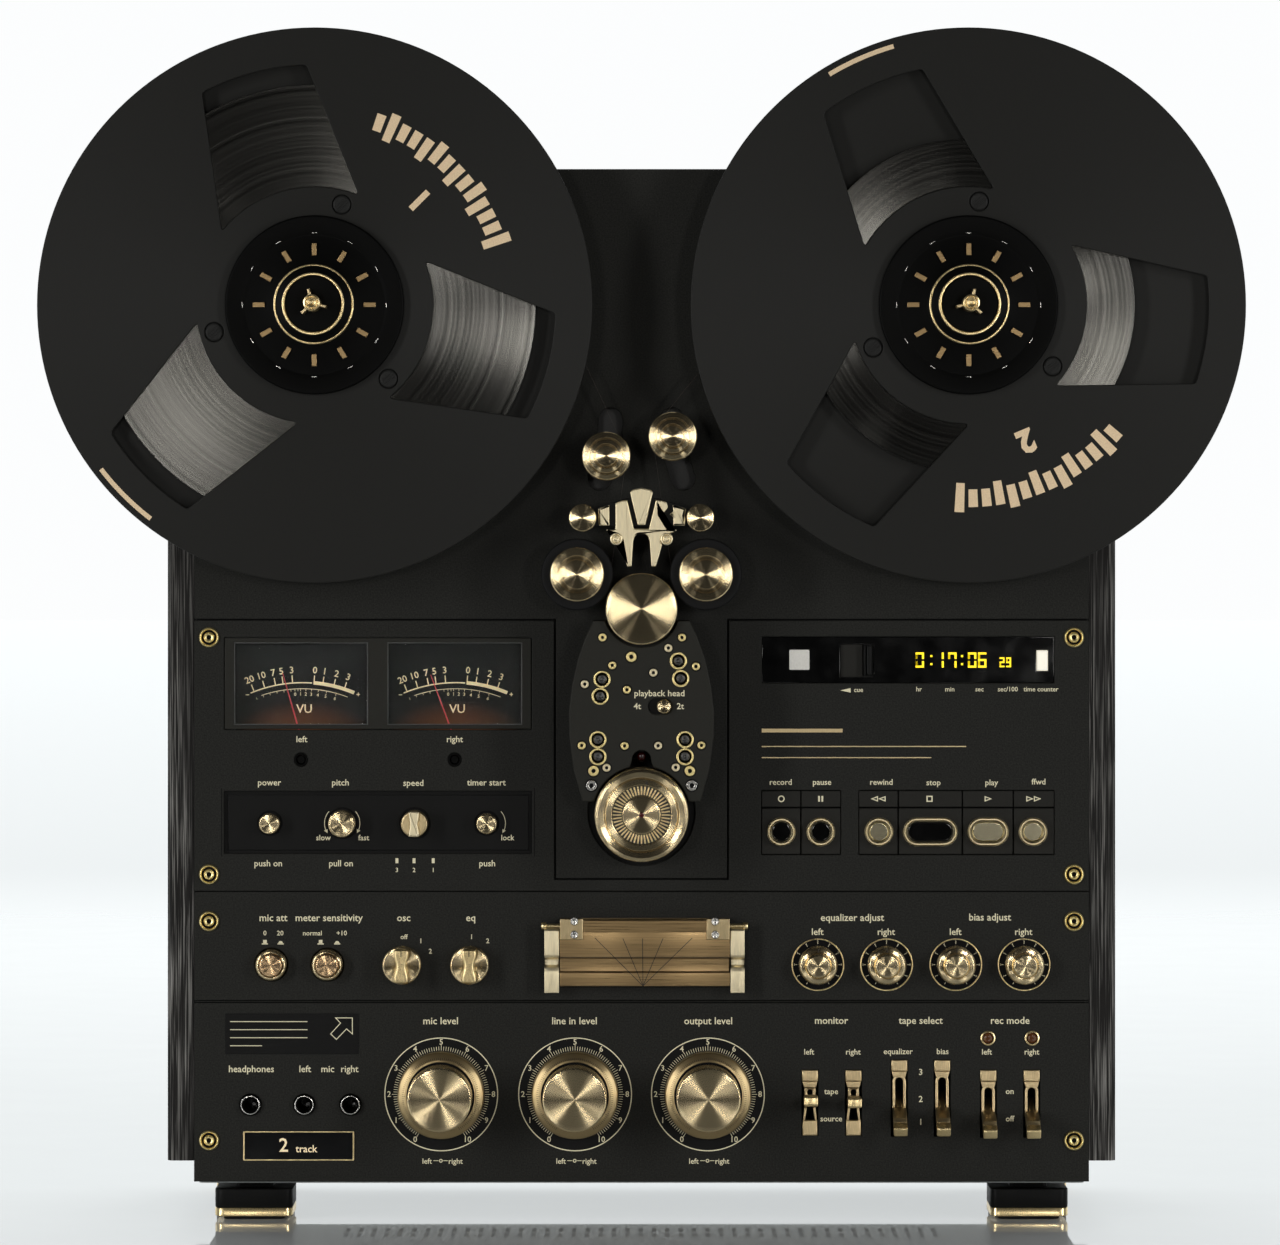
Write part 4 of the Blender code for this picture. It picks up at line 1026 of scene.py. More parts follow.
BRIDGE = ((-22.5, 338.4), (22.5, 338.4), (22.5, 347.6), (7.6, 352), (-7.6, 352), (-22.5, 347.6))
GUIDE_DISC = ((0, -37), (6.2, -37), (6.6, -36.5), (6.6, -29.6), (0, -29.6))
GUIDE_POST = ((0, -29.6), (4.5, -29.6), (4.5, -18), (6.6, -17.8), (6.6, -15), (3, -14), (3, -0.3),
              (0, -0.3))
GUIDE_PIN = ((0, -34.4), (0.9, -34.4), (1, -35.1), (1.6, -35.2), (1.8, -34.7), (2.1, -34.7), (2.3, -35.2),
             (2.9, -35), (3, -34.4), (3, -1), (0, -1))


def make_guide_bracket():
    on = "guide_bracket"
    plate("bracket_body", "champagne", on, softened(BRACKET, 0.5), -34, -31.4, 0.45, main=True)
    plate("bracket_wedge", "champagne", on, softened(WEDGE, 0.5), -35.6, -31.4, 0.55)

    @shape("bracket_arm_plates", "champagne", on)
    def arm_plates(bm):
        for outline in ARM_PLATES:
            slab(bm, softened(outline, 0.3), -33.6, -31.4, 0.35)
            slab(bm, offset(softened(outline, 0.3), -0.9), -33.9, -33.5, 0.2)

    @shape("bracket_bridge", "recess_black", on)
    def bridge(bm):
        slab(bm, softened(BRIDGE, 1), -31.5, -28.8, 0.3)
        slab(bm, rectangle(-5, 5, 339.5, 349), -29, -0.3, 0.3)

    for name, side in SIDES.items():
        place = (side * GUIDE[0], GUIDE[1])
        lathed(f"{name}_guide_disc", place, GUIDE_DISC, "turned_brass", on, 0.2, 64)
        lathed(f"{name}_guide_post", place, GUIDE_POST, "steel", on, 0.3, 48)
    lathed_set("bracket_guide_pins", ((-12.1, 332.5), (12.1, 332.5)), GUIDE_PIN, "champagne", on, 0.15, 40)


# ---------------- tape
TAPE_Y = (-28.7, -22.4)  # the tape's front and back edges
ROLLER_R, CAPSTAN_R, RETURN_R = 9.55, 16.95, 21.35


def tangent(a, ra, b, rb):
    """The ends of the straight line that touches two circles; a negative radius takes the other side."""
    a, b = Vector(a), Vector(b)
    way = b - a
    lean = math.asin((ra - rb) / way.length)
    turn = math.atan2(way.y, way.x) + math.pi / 2 - lean
    out = Vector((math.cos(turn), math.sin(turn)))
    return a + out * ra, b + out * rb


def ribbon(bm, a, b, count=10):
    across = (b - a).orthogonal().normalized() * 0.04
    points = [a + (b - a) * i / count for i in range(count + 1)]
    outline = [tuple(p + across) for p in points] + [tuple(p - across) for p in points[::-1]]
    slab(bm, outline, *TAPE_Y, 0)


def strand(name, a, b, arm=None):
    """A straight run of tape. One that ends at a tension roller rides on no body: its place is baked into its
    mesh.
    """
    made = piece(name, lambda bm: ribbon(bm, a, b), "tape_ribbon", None if arm else "transport_panel")
    if arm:
        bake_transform(made)


def make_tape():
    for name, side in (("left", 1), ("right", -1)):
        arm = f"tension_arm_{name}"
        a, b = tangent(REELS[name], side * PACK_R[name], TENSION[name], side * ROLLER_R)
        strand(f"{name}_supply_strand", a, b, arm)
        a, b = tangent(TENSION[name], side * ROLLER_R, CAPSTAN, -side * CAPSTAN_R)
        strand(f"{name}_guide_strand", b, a, arm)
        a, b = tangent(CAPSTAN, -side * CAPSTAN_R, RETURN, -side * RETURN_R)
        strand(f"{name}_head_strand", a, b)
    loop = band(RETURN, RETURN_R, RETURN_R + 0.08, 178, 362, 48)
    plate("return_tape_loop", "tape_ribbon", "transport_panel", loop, *TAPE_Y, 0)


# ---------------- meters
VU_NUMBERS = (("20", -25.5, 28.7), ("10", -19.9, 30.7), ("7", -14.1, 31.8), ("5", -10.2, 32.8), ("3", -5.2, 33.5),
              ("0", 6.1, 33.2), ("1", 10.8, 32.8), ("2", 16.6, 31.7), ("3", 22.3, 30.5))
SMALL_NUMBERS = (("0", -3.6), ("1", -0.9), ("2", 1.7), ("3", 4.4), ("4", 7.7), ("5", 11.6), ("6", 16.2))
SCALE_R = 65.0
SCALE_DROP = 37.1        # from the needle's pivot down to the scale's own centre
DIAL_Y = 12.03
NEEDLE_HUB = ((0, 6.5), (2.8, 6.5), (3, 6.8), (3, 9), (1.1, 9), (1.1, 12), (0, 12))


def meter_scale(bm, x):
    center = (x, NEEDLE_Z - SCALE_DROP)
    zero = 90 - math.degrees(math.asin(5.4 / SCALE_R))
    left, right = 90 + 22.8, 90 - 22.8

    def swept(r0, r1, start, end, count):
        mark(bm, band(center, r0, r1, start, end, count), DIAL_Y)

    swept(64.7, 65.3, left, zero + 0.6, 40)
    swept(64.3, 66, zero, right, 40)
    swept(61.9, 62.2, left - 4, right + 2, 40)
    for text, dx, dz in VU_NUMBERS:
        tilt = math.degrees(math.atan2(dx, dz + SCALE_DROP))
        swept(65.4, 68.7, 90 - tilt - 0.22, 90 - tilt + 0.22, 1)
        label(bm, text, *point(center, 71.2, 90 - tilt), 4.6, DIAL_Y, -tilt)
    for text, dx in SMALL_NUMBERS:
        tilt = math.degrees(math.asin(dx / 61))
        swept(60.9, 61.9, 89.9 - tilt, 90.1 - tilt, 1)
        label(bm, text, *point(center, 59.4, 90 - tilt), 2.3, DIAL_Y, -tilt)
    for i in range(7):
        swept(60.9, 61.9, 92.0 + 3.2 * i - 0.1, 92.0 + 3.2 * i + 0.1, 1)
    label(bm, "VU", x + 1, 249.8, 6, DIAL_Y)
    signs = ((-27.6, -25.9, 256.6, 257), (26.3, 28, 256.8, 257.2), (27, 27.4, 256.1, 257.9))
    for x0, x1, z0, z1 in signs:
        mark(bm, rectangle(x + x0, x + x1, z0, z1), DIAL_Y)


def meter_needle(bm, name):
    x, rest = NEEDLES[name]
    way = Vector((-math.sin(math.radians(rest)), math.cos(math.radians(rest))))
    across = Vector((way.y, -way.x))
    base = Vector((x, NEEDLE_Z))
    wide, thin = across * 0.42, across * 0.16
    blade = [base - wide, base + wide, base + way * 34 + thin, base + way * 34 - thin]
    slab(bm, [tuple(p) for p in blade], 7.2, 7.8, 0.1)
    turned(bm, x, NEEDLE_Z, NEEDLE_HUB, 0.2, 28)


def make_meters():
    on = "vu_meters"
    glasses = [rectangle(x0, x1, 242.4, 282.5) for x0, x1 in METERS.values()]
    bezel = rectangle(-202.2, -53.5, 240.4, 284.6)
    plate("meter_bezel", "cover_paint", on, bezel, 0.25, 5.8, 0.35, glasses, main=True)

    @shape("meter_housing", "socket_plastic", on)
    def tub(bm):
        box = rectangle(-202.2, -53.5, 226, 288)
        slab(bm, box, 5.9, 12, 0, [rectangle(x0, x1, 229, 282.5) for x0, x1 in METERS.values()])
        slab(bm, box, 12.9, 20, 0.3)

    @shape("meter_window_rims", "dark_steel", on)
    def rims(bm):
        for x0, x1 in METERS.values():
            slab(bm, rectangle(x0 + 0.05, x1 - 0.05, 242.45, 282.45), 0.7, 1.1, 0.12,
                 [rectangle(x0 + 0.55, x1 - 0.55, 242.95, 281.95)])

    for name, (x0, x1) in METERS.items():
        x = NEEDLES[name][0]
        face = rectangle(x0 + 0.2, x1 - 0.2, 229.2, 282.3)
        glass = rectangle(x0 + 0.6, x1 - 0.6, 243, 281.9)
        plate(f"{name}_meter_face", "meter_face", on, face, 12.1, 12.8, 0.1, axis=(x, 240))
        plate(f"{name}_meter_glass", "meter_glass", on, glass, 1.3, 2.1, 0.15, axis=((x0 + x1) / 2, 262))
        piece(f"{name}_meter_scale", lambda bm: meter_scale(bm, x), "print_painted_glow", on)
        piece(f"{name}_needle", lambda bm: meter_needle(bm, name), "needle_red", f"vu_needle_{name}", True)

    @shape("meter_trimmers", "hub_black", on)
    def trims(bm):
        for x, _ in NEEDLES.values():
            turned(bm, x, TRIMMER_Z, ((2.4, -0.2), (3.3, -0.2), (3.3, 1), (2.4, 1)), 0.2, 36, True)
            turned(bm, x, TRIMMER_Z, ((0, 1), (1.9, 0.9), (2.1, 1.3), (2.1, 3), (0, 3)), 0.2, 28)
            cut = rectangle(x - 1.6, x + 1.6, TRIMMER_Z - 0.25, TRIMMER_Z + 0.25)
            slab(bm, rotated(cut, (x, TRIMMER_Z), 55), 0.75, 1.1, 0)


# ---------------- switch row
SWITCH_CAP = ((0, -5.5), (4.4, -5.5), (5, -4.9), (5, -1), (2.8, -0.9), (2.8, 8), (0, 8))
PITCH_KNOB = ((0, -8), (5.3, -8), (5.5, -7.7), (6, -7.7), (6.5, -7.1), (6.5, 1.2), (2.8, 1.3),
              (2.8, 8), (0, 8))
SPEED_BASE = ((0, -7), (6, -7), (6.5, -6.5), (6.5, 1.2), (2.8, 1.3), (2.8, 8), (0, 8))
SPEED_GRIP = ((-2.6, -6.1), (2.6, -6.1), (2.2, -2.2), (1.7, 0), (2.2, 2.2), (2.6, 6.1), (-2.6, 6.1), (-2.2, 2.2),
              (-1.7, 0), (-2.2, -2.2))


def make_switch_row():
    power, pitch, speed, timer = [(x, SWITCH_Z) for x in SWITCH_X]
    for name, place in (("power_button", power), ("timer_button", timer)):
        lathed(f"{name}_cap", place, SWITCH_CAP, "turned_brass", name, 0.2, 56, main=True)
    lathed("pitch_knob_cap", pitch, PITCH_KNOB, "turned_brass", "pitch_knob", 0.15, 56, main=True)
    lathed("speed_knob_base", speed, SPEED_BASE, "satin_brass", "speed_knob", 0.2, 56, main=True)
    grip = moved(softened(SPEED_GRIP, 0.6), *speed)
    plate("speed_knob_grip", "champagne", "speed_knob", grip, -10.9, -6.9, 0.5, axis=speed)

    @shape("switch_collars", "gap_black", "transport_panel")
    def collars(bm):
        for (x, z), r in ((power, 5.3), (pitch, 6.9), (speed, 6.9), (timer, 5.3)):
            turned(bm, x, z, ((r, 1.6), (r + 0.8, 1.5), (r + 0.9, 1.8), (r, 1.8)), 0.1, 40, True)


def curved_arrow(bm, center, r, start, end, y):
    """A thin arc with a slim head at its end."""
    mark(bm, band(center, r - 0.16, r + 0.16, start, end, 12), y)
    sign = math.copysign(1, end - start)
    head = ((r, end + sign * 9), (r - 0.9, end - sign * 3), (r + 0.9, end - sign * 3))
    mark(bm, [point(center, *at) for at in head], y)


TRANSPORT_WORDS = (      # height, size, and each word's middle
    (235.4, 4.3, {"left": -164.8, "right": -90.6}),
    (214.4, 4.3, {"power": -180.5, "pitch": -146}),
    (214.2, 4.3, {"speed": -110.6}),
    (214.4, 4.3, {"timer start": -75.2}),
    (175.2, 4.3, {"push on": -181, "pull on": -145.7, "push": -74.8}),
    (259.4, 3.2, {"cue": 105.2}),
    (259.7, 3.2, {"hr": 134.5, "min": 149.5, "sec": 163.9, "sec/100": 177.6, "time counter": 193.7}),
    (214.6, 4, {"record": 67.5, "pause": 87.5, "rewind": 116.3}),
    (214.4, 4, {"stop": 141.6, "play": 169.7}),
    (214.8, 4, {"ffwd": 192.6}),
)
RECESS_PRINT_Y = 1.66


def make_transport_print():
    on = "transport_panel"

    @shape("transport_lettering", "print_gold", on)
    def lettering(bm):
        words(bm, TRANSPORT_WORDS)
        for text, x in (("3", -118.6), ("2", -110.3), ("1", -101)):
            mark(bm, rectangle(x - 0.7, x + 0.7, 175.4, 177.8))
            label(bm, text, x, 172, 3)
        mark(bm, [(96.4, 259.2), (101.4, 260.3), (101.4, 258.1)])

    @shape("transport_bars", "satin_brass", on)
    def bars(bm):
        for end, z, half in ((97.5, 239.7, 0.9), (157.4, 232, 0.25), (140.5, 226.6, 0.25)):
            mark(bm, rectangle(58.3, end, z - half, z + half))

    @shape("recess_lettering", "print_gold", on)
    def recess_lettering(bm):
        words(bm, ((187.6, 3.8, {"slow": -154.4, "fast": -134.8, "lock": -65}),), RECESS_PRINT_Y)
        for x, start, end in ((-145.2, 138, 205), (-145.2, 42, -25), (-74.6, 42, -25)):
            curved_arrow(bm, (x, SWITCH_Z), 8.6, start, end, RECESS_PRINT_Y)


# ---------------- counter and keys
SEGMENTS = {"0": "abcdef", "1": "bc", "2": "abged", "6": "afgedc", "7": "fabc", "9": "gfabcd"}
DIGIT_Y = 1.28


def digit(bm, text, x, z, width, height, stroke):
    """A seven-bar digit."""
    w, h, s = width / 2, height / 2, stroke / 2
    across = {"a": h - s, "g": 0, "d": s - h}
    upright = {"b": (w, 0, h), "c": (w, -h, 0), "e": (-w, -h, 0), "f": (-w, 0, h)}
    for part in SEGMENTS[text]:
        if part in across:
            mark(bm, rectangle(x - w, x + w, z + across[part] - s, z + across[part] + s), DIGIT_Y)
            continue
        side, z0, z1 = upright[part]
        edge = x + side - math.copysign(s, side)
        low, high = z + z0 + (0.02 if z0 else s), z + z1 - (0.02 if z1 else s)
        mark(bm, rectangle(edge - s, edge + s, low, high), DIGIT_Y + (0.06 if part in "bc" else 0.12))


def make_counter():
    on = "transport_panel"
    x0, x1, z0, z1 = COUNTER_RECESS
    holes = [rectangle(96.3, 112.6, 265.4, 281.7), rectangle(191.4, 197.4, 268.3, 279)]
    glass = rectangle(x0 + 0.2, x1 - 0.2, z0 + 0.2, z1 - 0.2)
    plate("counter_window", "gloss_black", on, glass, 1.4, 2.9, 0.2, holes)
    plate("cue_shield", "key_paint", "cue_lever", rectangle(96.5, 107.3, 265.6, 281.5), 2.95, 3.6, 0.2)

    @shape("cue_grip", "recess_black", "cue_lever", True)
    def lever(bm):
        bar(bm, 90, 125, 3.5, 5.5, 263.5, 283.5, 0.3)
        bar(bm, 107.8, 108.9, -0.6, 3.6, 266.5, 281, 0.3)
        slab(bm, softened(rectangle(109.2, 111.6, 266.5, 281), 1), -1.5, 3.6, 0.5)

    cap = rectangle(191.8, 197, 268.7, 278.6)
    plate("reset_cap", "lamp_white", "counter_reset", cap, -0.5, 6, 0.4, main=True)
    tile = softened(rectangle(71.7, 81.5, 269.1, 278.9), 0.6)
    plate("indicator_tile", "tile_white", on, tile, 1.1, 1.5, 0.15)

    @shape("counter_digits", "digit_glow", on)
    def digits(bm):
        for text, x in (("0", 135), ("1", 144.6), ("7", 150.8), ("0", 160.4), ("6", 165.3)):
            digit(bm, text, x, 273.9, 4.1, 7.4, 1)
        for x, z in grid((140.6, 155.5), (271.9, 275.8)):
            mark(bm, rectangle(x - 0.5, x + 0.5, z - 0.5, z + 0.5), DIGIT_Y)
        for text, x in (("2", 174.9), ("9", 178.1)):
            digit(bm, text, x, 272.8, 2.4, 4.8, 0.75)


KEYS = {                 # the plate's sides, the button's middle and its half-width
    "record": (58.3, 77, 67.8, 7), "pause": (77.6, 96.5, 86.9, 7), "rewind": (105.5, 124.2, 115.1, 7),
    "stop": (124.8, 155.3, 140, 13.3), "play": (155.9, 180, 168, 10),
    "fast_forward": (180.6, 200, 189.8, 7),
}
BUTTON_Z = 190.7
BUTTON_R = 7.0
PALE_KEYS = ("rewind", "play", "fast_forward")


def make_key(name, x0, x1, x, half):
    on = f"{name}_key"
    reach = half - BUTTON_R
    path = ((x - reach, BUTTON_Z), (x + reach, BUTTON_Z))

    def ring(r):
        return slot_outline(path, r, 20) if reach else circle(x, BUTTON_Z, r, 56)

    plate(f"{name}_key_plate", "key_paint", on, rectangle(x0, x1, 179.7, 202), 0.45, 3, 0.35, main=True)

    @shape(f"{name}_key_cup", "champagne", on)
    def cup(bm):
        slab(bm, ring(BUTTON_R), -1.9, 0.4, 0.2, [ring(4.9)])
        slab(bm, ring(BUTTON_R), -2.9, -1.9, 0.35, [ring(6.3)])
        slab(bm, ring(5.7), -3.2, -1.9, 0.4, [ring(4.9)])

    face = "dish_metal" if name in PALE_KEYS else "gloss_black"
    plate(f"{name}_key_face", face, on, ring(4.85), -1.3, 0.4, 0.6)


def triangle(bm, x, z, side, y):
    outline = [(x - side * 1.8, z - 1.4), (x + side * 1.8, z), (x - side * 1.8, z + 1.4)]
    mark(bm, outline, y, [offset(outline, -0.5)])


def make_keys():
    on = "transport_panel"
    for name, place in KEYS.items():
        make_key(name, *place)

    @shape("key_symbol_strips", "key_paint", on)
    def strips(bm):
        for x0, x1, _, _ in KEYS.values():
            bar(bm, x0, x1, 0.45, 2.9, 202.7, 210.4, 0.25)

    # a near-black floor behind the key plates: painted shade seen through the gaps between keys
    @shape("key_bay_shade_floor", "gap_black", on)
    def floors(bm):
        for x0, x1, _, _ in KEY_BAYS:
            bar(bm, x0 - 1, x1 + 1, 5.2, 5.6, 179, 211, 0)

    @shape("key_symbols", "print_gold", on)
    def symbols(bm):
        y, z = 0.39, 206.6
        mark(bm, circle(67.8, z, 1.65, 24), y, [circle(67.8, z, 1.05, 24)])
        for x in (86.1, 87.7):
            mark(bm, rectangle(x - 0.45, x + 0.45, z - 1.4, z + 1.4), y)
        for x in (112.9, 116.6):
            triangle(bm, x, z, -1, y)
        mark(bm, rectangle(138.2, 141.2, z - 1.5, z + 1.5), y, [rectangle(138.8, 140.6, z - 0.9, z + 0.9)])
        for x in (168.2, 188.4, 192.1):
            triangle(bm, x, z, 1, y)


# ---------------- amplifier controls
BUTTON_COLLAR = ((5.9, -5.8), (6, -6.2), (6.8, -6), (7.4, -5.2), (7.4, 8), (5.9, 8))
BUTTON_CAP = ((0, -7.5), (5, -7.4), (5.6, -6.8), (5.6, 6), (0, 6))
KNOB_BASE = ((0, -7), (8.7, -7), (9.3, -6.4), (9.3, -0.8), (3, -0.7), (3, 8), (0, 8))
KNOB_GRIP = ((-3.4, -8.2), (3.4, -8.2), (3.7, -5.4), (2.4, -1.2), (2.4, 1.2), (3.7, 5.4), (3.4, 8.2), (-3.4, 8.2),
             (-3.7, 5.4), (-2.4, 1.2), (-2.4, -1.2), (-3.7, -5.4))
ADJUST_BASE = ((5.9, -9), (6.4, -9.3), (8.4, -9), (9.3, -8), (9.3, -0.8), (3, -0.7), (3, 8), (2, 8),
               (2, -9))
ADJUST_CAP = ((0, -12.5), (5.2, -12.4), (5.8, -11.8), (5.8, -8.8), (0, -8.8))
ADJUST_RING = ((12.1, -0.3), (12.2, -0.8), (12.75, -0.8), (12.75, 0.2), (12.1, 0.2))
SCALE_START = 240.0      # degrees at a scale's zero
SCALE_STEP = 30.0


def make_amplifier_controls():
    on = "amplifier_panel"
    for name, x in ROW_BUTTONS.items():
        lathed(f"{name}_collar", (x, ROW_Z), BUTTON_COLLAR, "turned_brass", name, 0.2, 64, True, True)
        lathed(f"{name}_cap", (x, ROW_Z), BUTTON_CAP, "turned_copper", name, 0.3, 64)
    for name, x in ROW_KNOBS.items():
        lathed(f"{name}_base", (x, ROW_Z), KNOB_BASE, "turned_brass", name, 0.2, main=True)

        @shape(f"{name}_grip", "polished_brass", name, axis=(x, ROW_Z))
        def grip(bm):
            waist = moved(softened(KNOB_GRIP, 1.2), x, ROW_Z)
            slab(bm, waist, -13.9, -6.9, 0.9)
            slab(bm, waist, -9, -6.9, 0.3)

        index = rectangle(x - 0.22, x + 0.22, ROW_Z + 4.6, ROW_Z + 7.6)
        piece(f"{name}_index", lambda bm: mark(bm, index, -13.95), "print_dark", name)
    for name, x in ADJUST.items():
        lathed(f"{name}_base", (x, ROW_Z), ADJUST_BASE, "turned_brass", name, 0.3, 72, True, True)
        lathed(f"{name}_cap", (x, ROW_Z), ADJUST_CAP, "turned_brass", name, 0.25, 64)
        index = rectangle(x - 0.2, x + 0.2, ROW_Z + 6.3, ROW_Z + 8.3)
        piece(f"{name}_index", lambda bm: mark(bm, index, -9.35), "print_dark", name)
    places = grid(ADJUST.values(), (ROW_Z,))
    lathed_set("adjust_rings", places, ADJUST_RING, "polished_brass", on, 0.15, 72, True)

    @shape("adjust_dials", "gap_black", on)
    def dials(bm):
        for x, z in places:
            mark(bm, circle(x, z, 12.1, 64), -0.06, [circle(x, z, 4, 32)])

    @shape("adjust_scales", "print_gold", on)
    def scales(bm):
        for place in places:
            for i in range(11):
                at = SCALE_START - SCALE_STEP * i
                mark(bm, ray(place, 10, 10.9, 0.12, at), -0.1)
                if i not in (0, 10):
                    label(bm, str(i), *point(place, 11.4, at), 1.3, -0.1)


LEVEL_CAP = ((0, -32), (14.9, -32), (15.5, -31.4), (15.5, -12.6), (3.6, -12.5), (3.6, 14), (0, 14))
LEVEL_SKIRT = ((4.2, -11.9), (16.3, -12), (16.5, -11.6), (17.4, -11.5), (20.3, -9.9), (20.9, -9.2), (20.9, -0.8),
               (6.5, -0.7), (6.5, 9), (4.2, 9))
# a near-black ring in the gap between a level knob's cap and its skirt: painted shade
LEVEL_GAP_SHADE = ((15.3, -12.1), (16.45, -12.15), (16.45, -11.8), (15.3, -11.8))


def fine_scale(bm, place, inner, outer, half, y):
    """A hundred steps of fine lines; inner and outer hold the radii at a plain line and at each tenth."""
    for i in range(101):
        tenth = i % 10 == 0
        mark(bm, ray(place, inner[tenth], outer[tenth], half, SCALE_START - SCALE_STEP / 10 * i), y)


def make_level_controls():
    on = "amplifier_panel"
    places = grid(LEVEL_X.values(), (LEVEL_Z,))
    for name, place in zip(LEVEL_X, places):
        knob, ring = f"{name}_level_knob", f"{name}_level_ring"
        lathed(f"{knob}_cap", place, LEVEL_CAP, "turned_brass", knob, 0.25, 96, main=True)
        lathed(f"{ring}_skirt", place, LEVEL_SKIRT, "skirt_brass", ring, 0.2, 96, True, True)
        lathed(f"{ring}_gap_shade", place, LEVEL_GAP_SHADE, "gap_black", ring, 0.02, 72, True)
        piece(f"{ring}_scale", lambda bm: fine_scale(bm, place, (17.7, 17), (18.6, 18.6), 0.09, -11.75),
              "print_dark", ring)

    @shape("level_fields", "recess_black", on)
    def fields(bm):
        for place in places:
            mark(bm, circle(*place, 27.3, 96), -0.05, [circle(*place, 8, 32)])

    @shape("level_scales", "print_gold", on)
    def scales(bm):
        for place in places:
            mark(bm, circle(*place, 27.6, 96), -0.09, [circle(*place, 27.1, 96)])
            fine_scale(bm, place, (21.2, 21.2), (23.2, 23.9), 0.13, -0.09)
            for i in range(11):
                label(bm, str(i), *point(place, 25.3, SCALE_START - SCALE_STEP * i), 3.9, -0.1)


def make_sockets():
    on = "amplifier_panel"
    places = grid(JACK_X, (JACK_Z,))
    tube = ((3.15, -1.4), (4, -2.3), (5, -2), (5, 26), (3.15, 26))
    lathed_set("jack_tubes", places, tube, "hub_black", on, 0.3, 44, True)
    ring = ((4.05, -2.1), (4.1, -2.5), (4.6, -2.4), (4.7, -2))
    lathed_set("jack_rings", places, ring, "steel", on, 0.1, 44, True)

    @shape("jack_contacts", "dark_steel", on)
    def leaves(bm):
        for x, z in places:
            bar(bm, x + 0.6, x + 2.6, 4, 20, z - 0.8, z + 0.8, 0.2)
            slab(bm, circle(x, z, 4.2, 24), 24.5, 26, 0)


def make_plates():
    on = "amplifier_panel"
    note = softened(rectangle(-201.9, -137, 82.8, 102.5), 0.4)
    plate("note_plate", "recess_black", on, note, -0.25, 0, 0.1)

    @shape("note_arrow", "print_gold", on)
    def arrow(bm):
        head = ((-140, 100.6), (-148.8, 100.6), (-146.2, 97.9), (-151, 92.6), (-147.9, 89.7), (-143, 94.8),
                (-140, 92.2))
        mark(bm, head, -0.3, [offset(head, -0.4)])
        for i, end in enumerate((-162, -162, -162, -184)):
            mark(bm, rectangle(-199.5, end, 98.4 - 3.9 * i, 98.8 - 3.9 * i), -0.3)

    outline = softened(rectangle(-193.1, -139.3, 31.2, 45.5), 0.6)
    plate("badge_field", "gloss_black", on, outline, -0.5, 0, 0.15)
    plate("badge_frame", "polished_brass", on, outline, -0.9, -0.45, 0.15, [offset(outline, -0.7)])

    @shape("badge_print", "print_painted_glow", on)
    def badge(bm):
        label(bm, "2", -173.5, 38.4, 9.4, -0.53)
        label(bm, "track", -162.5, 36.8, 5, -0.53)


AMPLIFIER_WORDS = (
    (148.8, 4.9, {"mic att": -178.6, "meter sensitivity": -151.6}),
    (141.4, 3.3, {"0": -182.6, "20": -175.2, "normal": -159.6, "+10": -145.4}),
    (148.8, 4.9, {"osc": -115.3, "eq": -82.8}),
    (139.6, 3.3, {"off": -115.2}), (137.6, 3.3, {"1": -107}), (132.6, 3.3, {"2": -102.4}),
    (139.6, 3.3, {"1": -82.4}), (137.6, 3.3, {"2": -74.6}),
    (75.5, 4.6, {"headphones": -189.2, "left": -163.2, "mic": -152.2, "right": -141.6}),
    (98.8, 4.9, {"mic level": -97.4, "line in level": -32.5, "output level": 32.4}),
    (148.9, 4.9, {"equalizer adjust": 102.2}), (149.1, 4.9, {"bias adjust": 168.9}),
    (142, 4.6, {"left": 85.3, "right": 118.6}), (142, 4.6, {"left": 152.2, "right": 185.2}),
    (99, 4.9, {"monitor": 92, "tape select": 135.4, "rec mode": 178.7}),
    (83.8, 3.9, {"left": 81.2, "right": 102.6}), (84, 3.9, {"equalizer": 124.4, "bias": 146}),
    (83.8, 3.9, {"left": 167.4, "right": 189.2}), (64.6, 3.9, {"tape": 92}), (51.4, 3.9, {"source": 92}),
    (74, 4.2, {"3": 135.4}), (60.9, 4.2, {"2": 135.4}), (49.8, 4.2, {"1": 135.4}),
    (64.7, 3.9, {"on": 178.6}), (51.4, 3.9, {"off": 178.6}),
)


def make_amplifier_print():
    @shape("amplifier_lettering", "print_gold", "amplifier_panel")
    def lettering(bm):
        words(bm, AMPLIFIER_WORDS)
        for x in LEVEL_X.values():
            words(bm, ((30.8, 3.7, {"left": x - 6.9, "right": x + 6.9}),))
            for x0, x1 in ((x - 3.8, x - 1.4), (x + 1, x + 3.2)):
                mark(bm, rectangle(x0, x1, 31, 31.3))
            mark(bm, circle(x - 0.2, 31.1, 0.9, 16), PRINT_Y, [circle(x - 0.2, 31.1, 0.5, 16)])
        for x, up in ((-182.6, True), (-175, False), (-155.6, True), (-147.6, False)):
            mark(bm, rectangle(x - 1.5, x + 1.5, 136, 136.5))
            mark(bm, rectangle(x - 0.9, x + 0.9, 136.6, 138.2) if up else arc((x, 136.6), 1.1, 0, 180, 8))


# ---------------- levers
LEVERS = {               # middle, slot bottom and top, and the blade's lean in degrees
    "monitor_lever_left": (81.7, 43.1, 75.2, 5.5), "monitor_lever_right": (102.8, 43.1, 75.2, 4),
    "eq_select_lever": (125, 42.7, 80.1, -30), "bias_select_lever": (145.8, 42.7, 80.1, -30),
    "record_mode_lever_left": (168.2, 42.1, 75.2, -26), "record_mode_lever_right": (189.2, 42.1, 75.2, -26),
}
LEVER_PIVOT_Y = 8.0
LEVER_HALF = 3.3
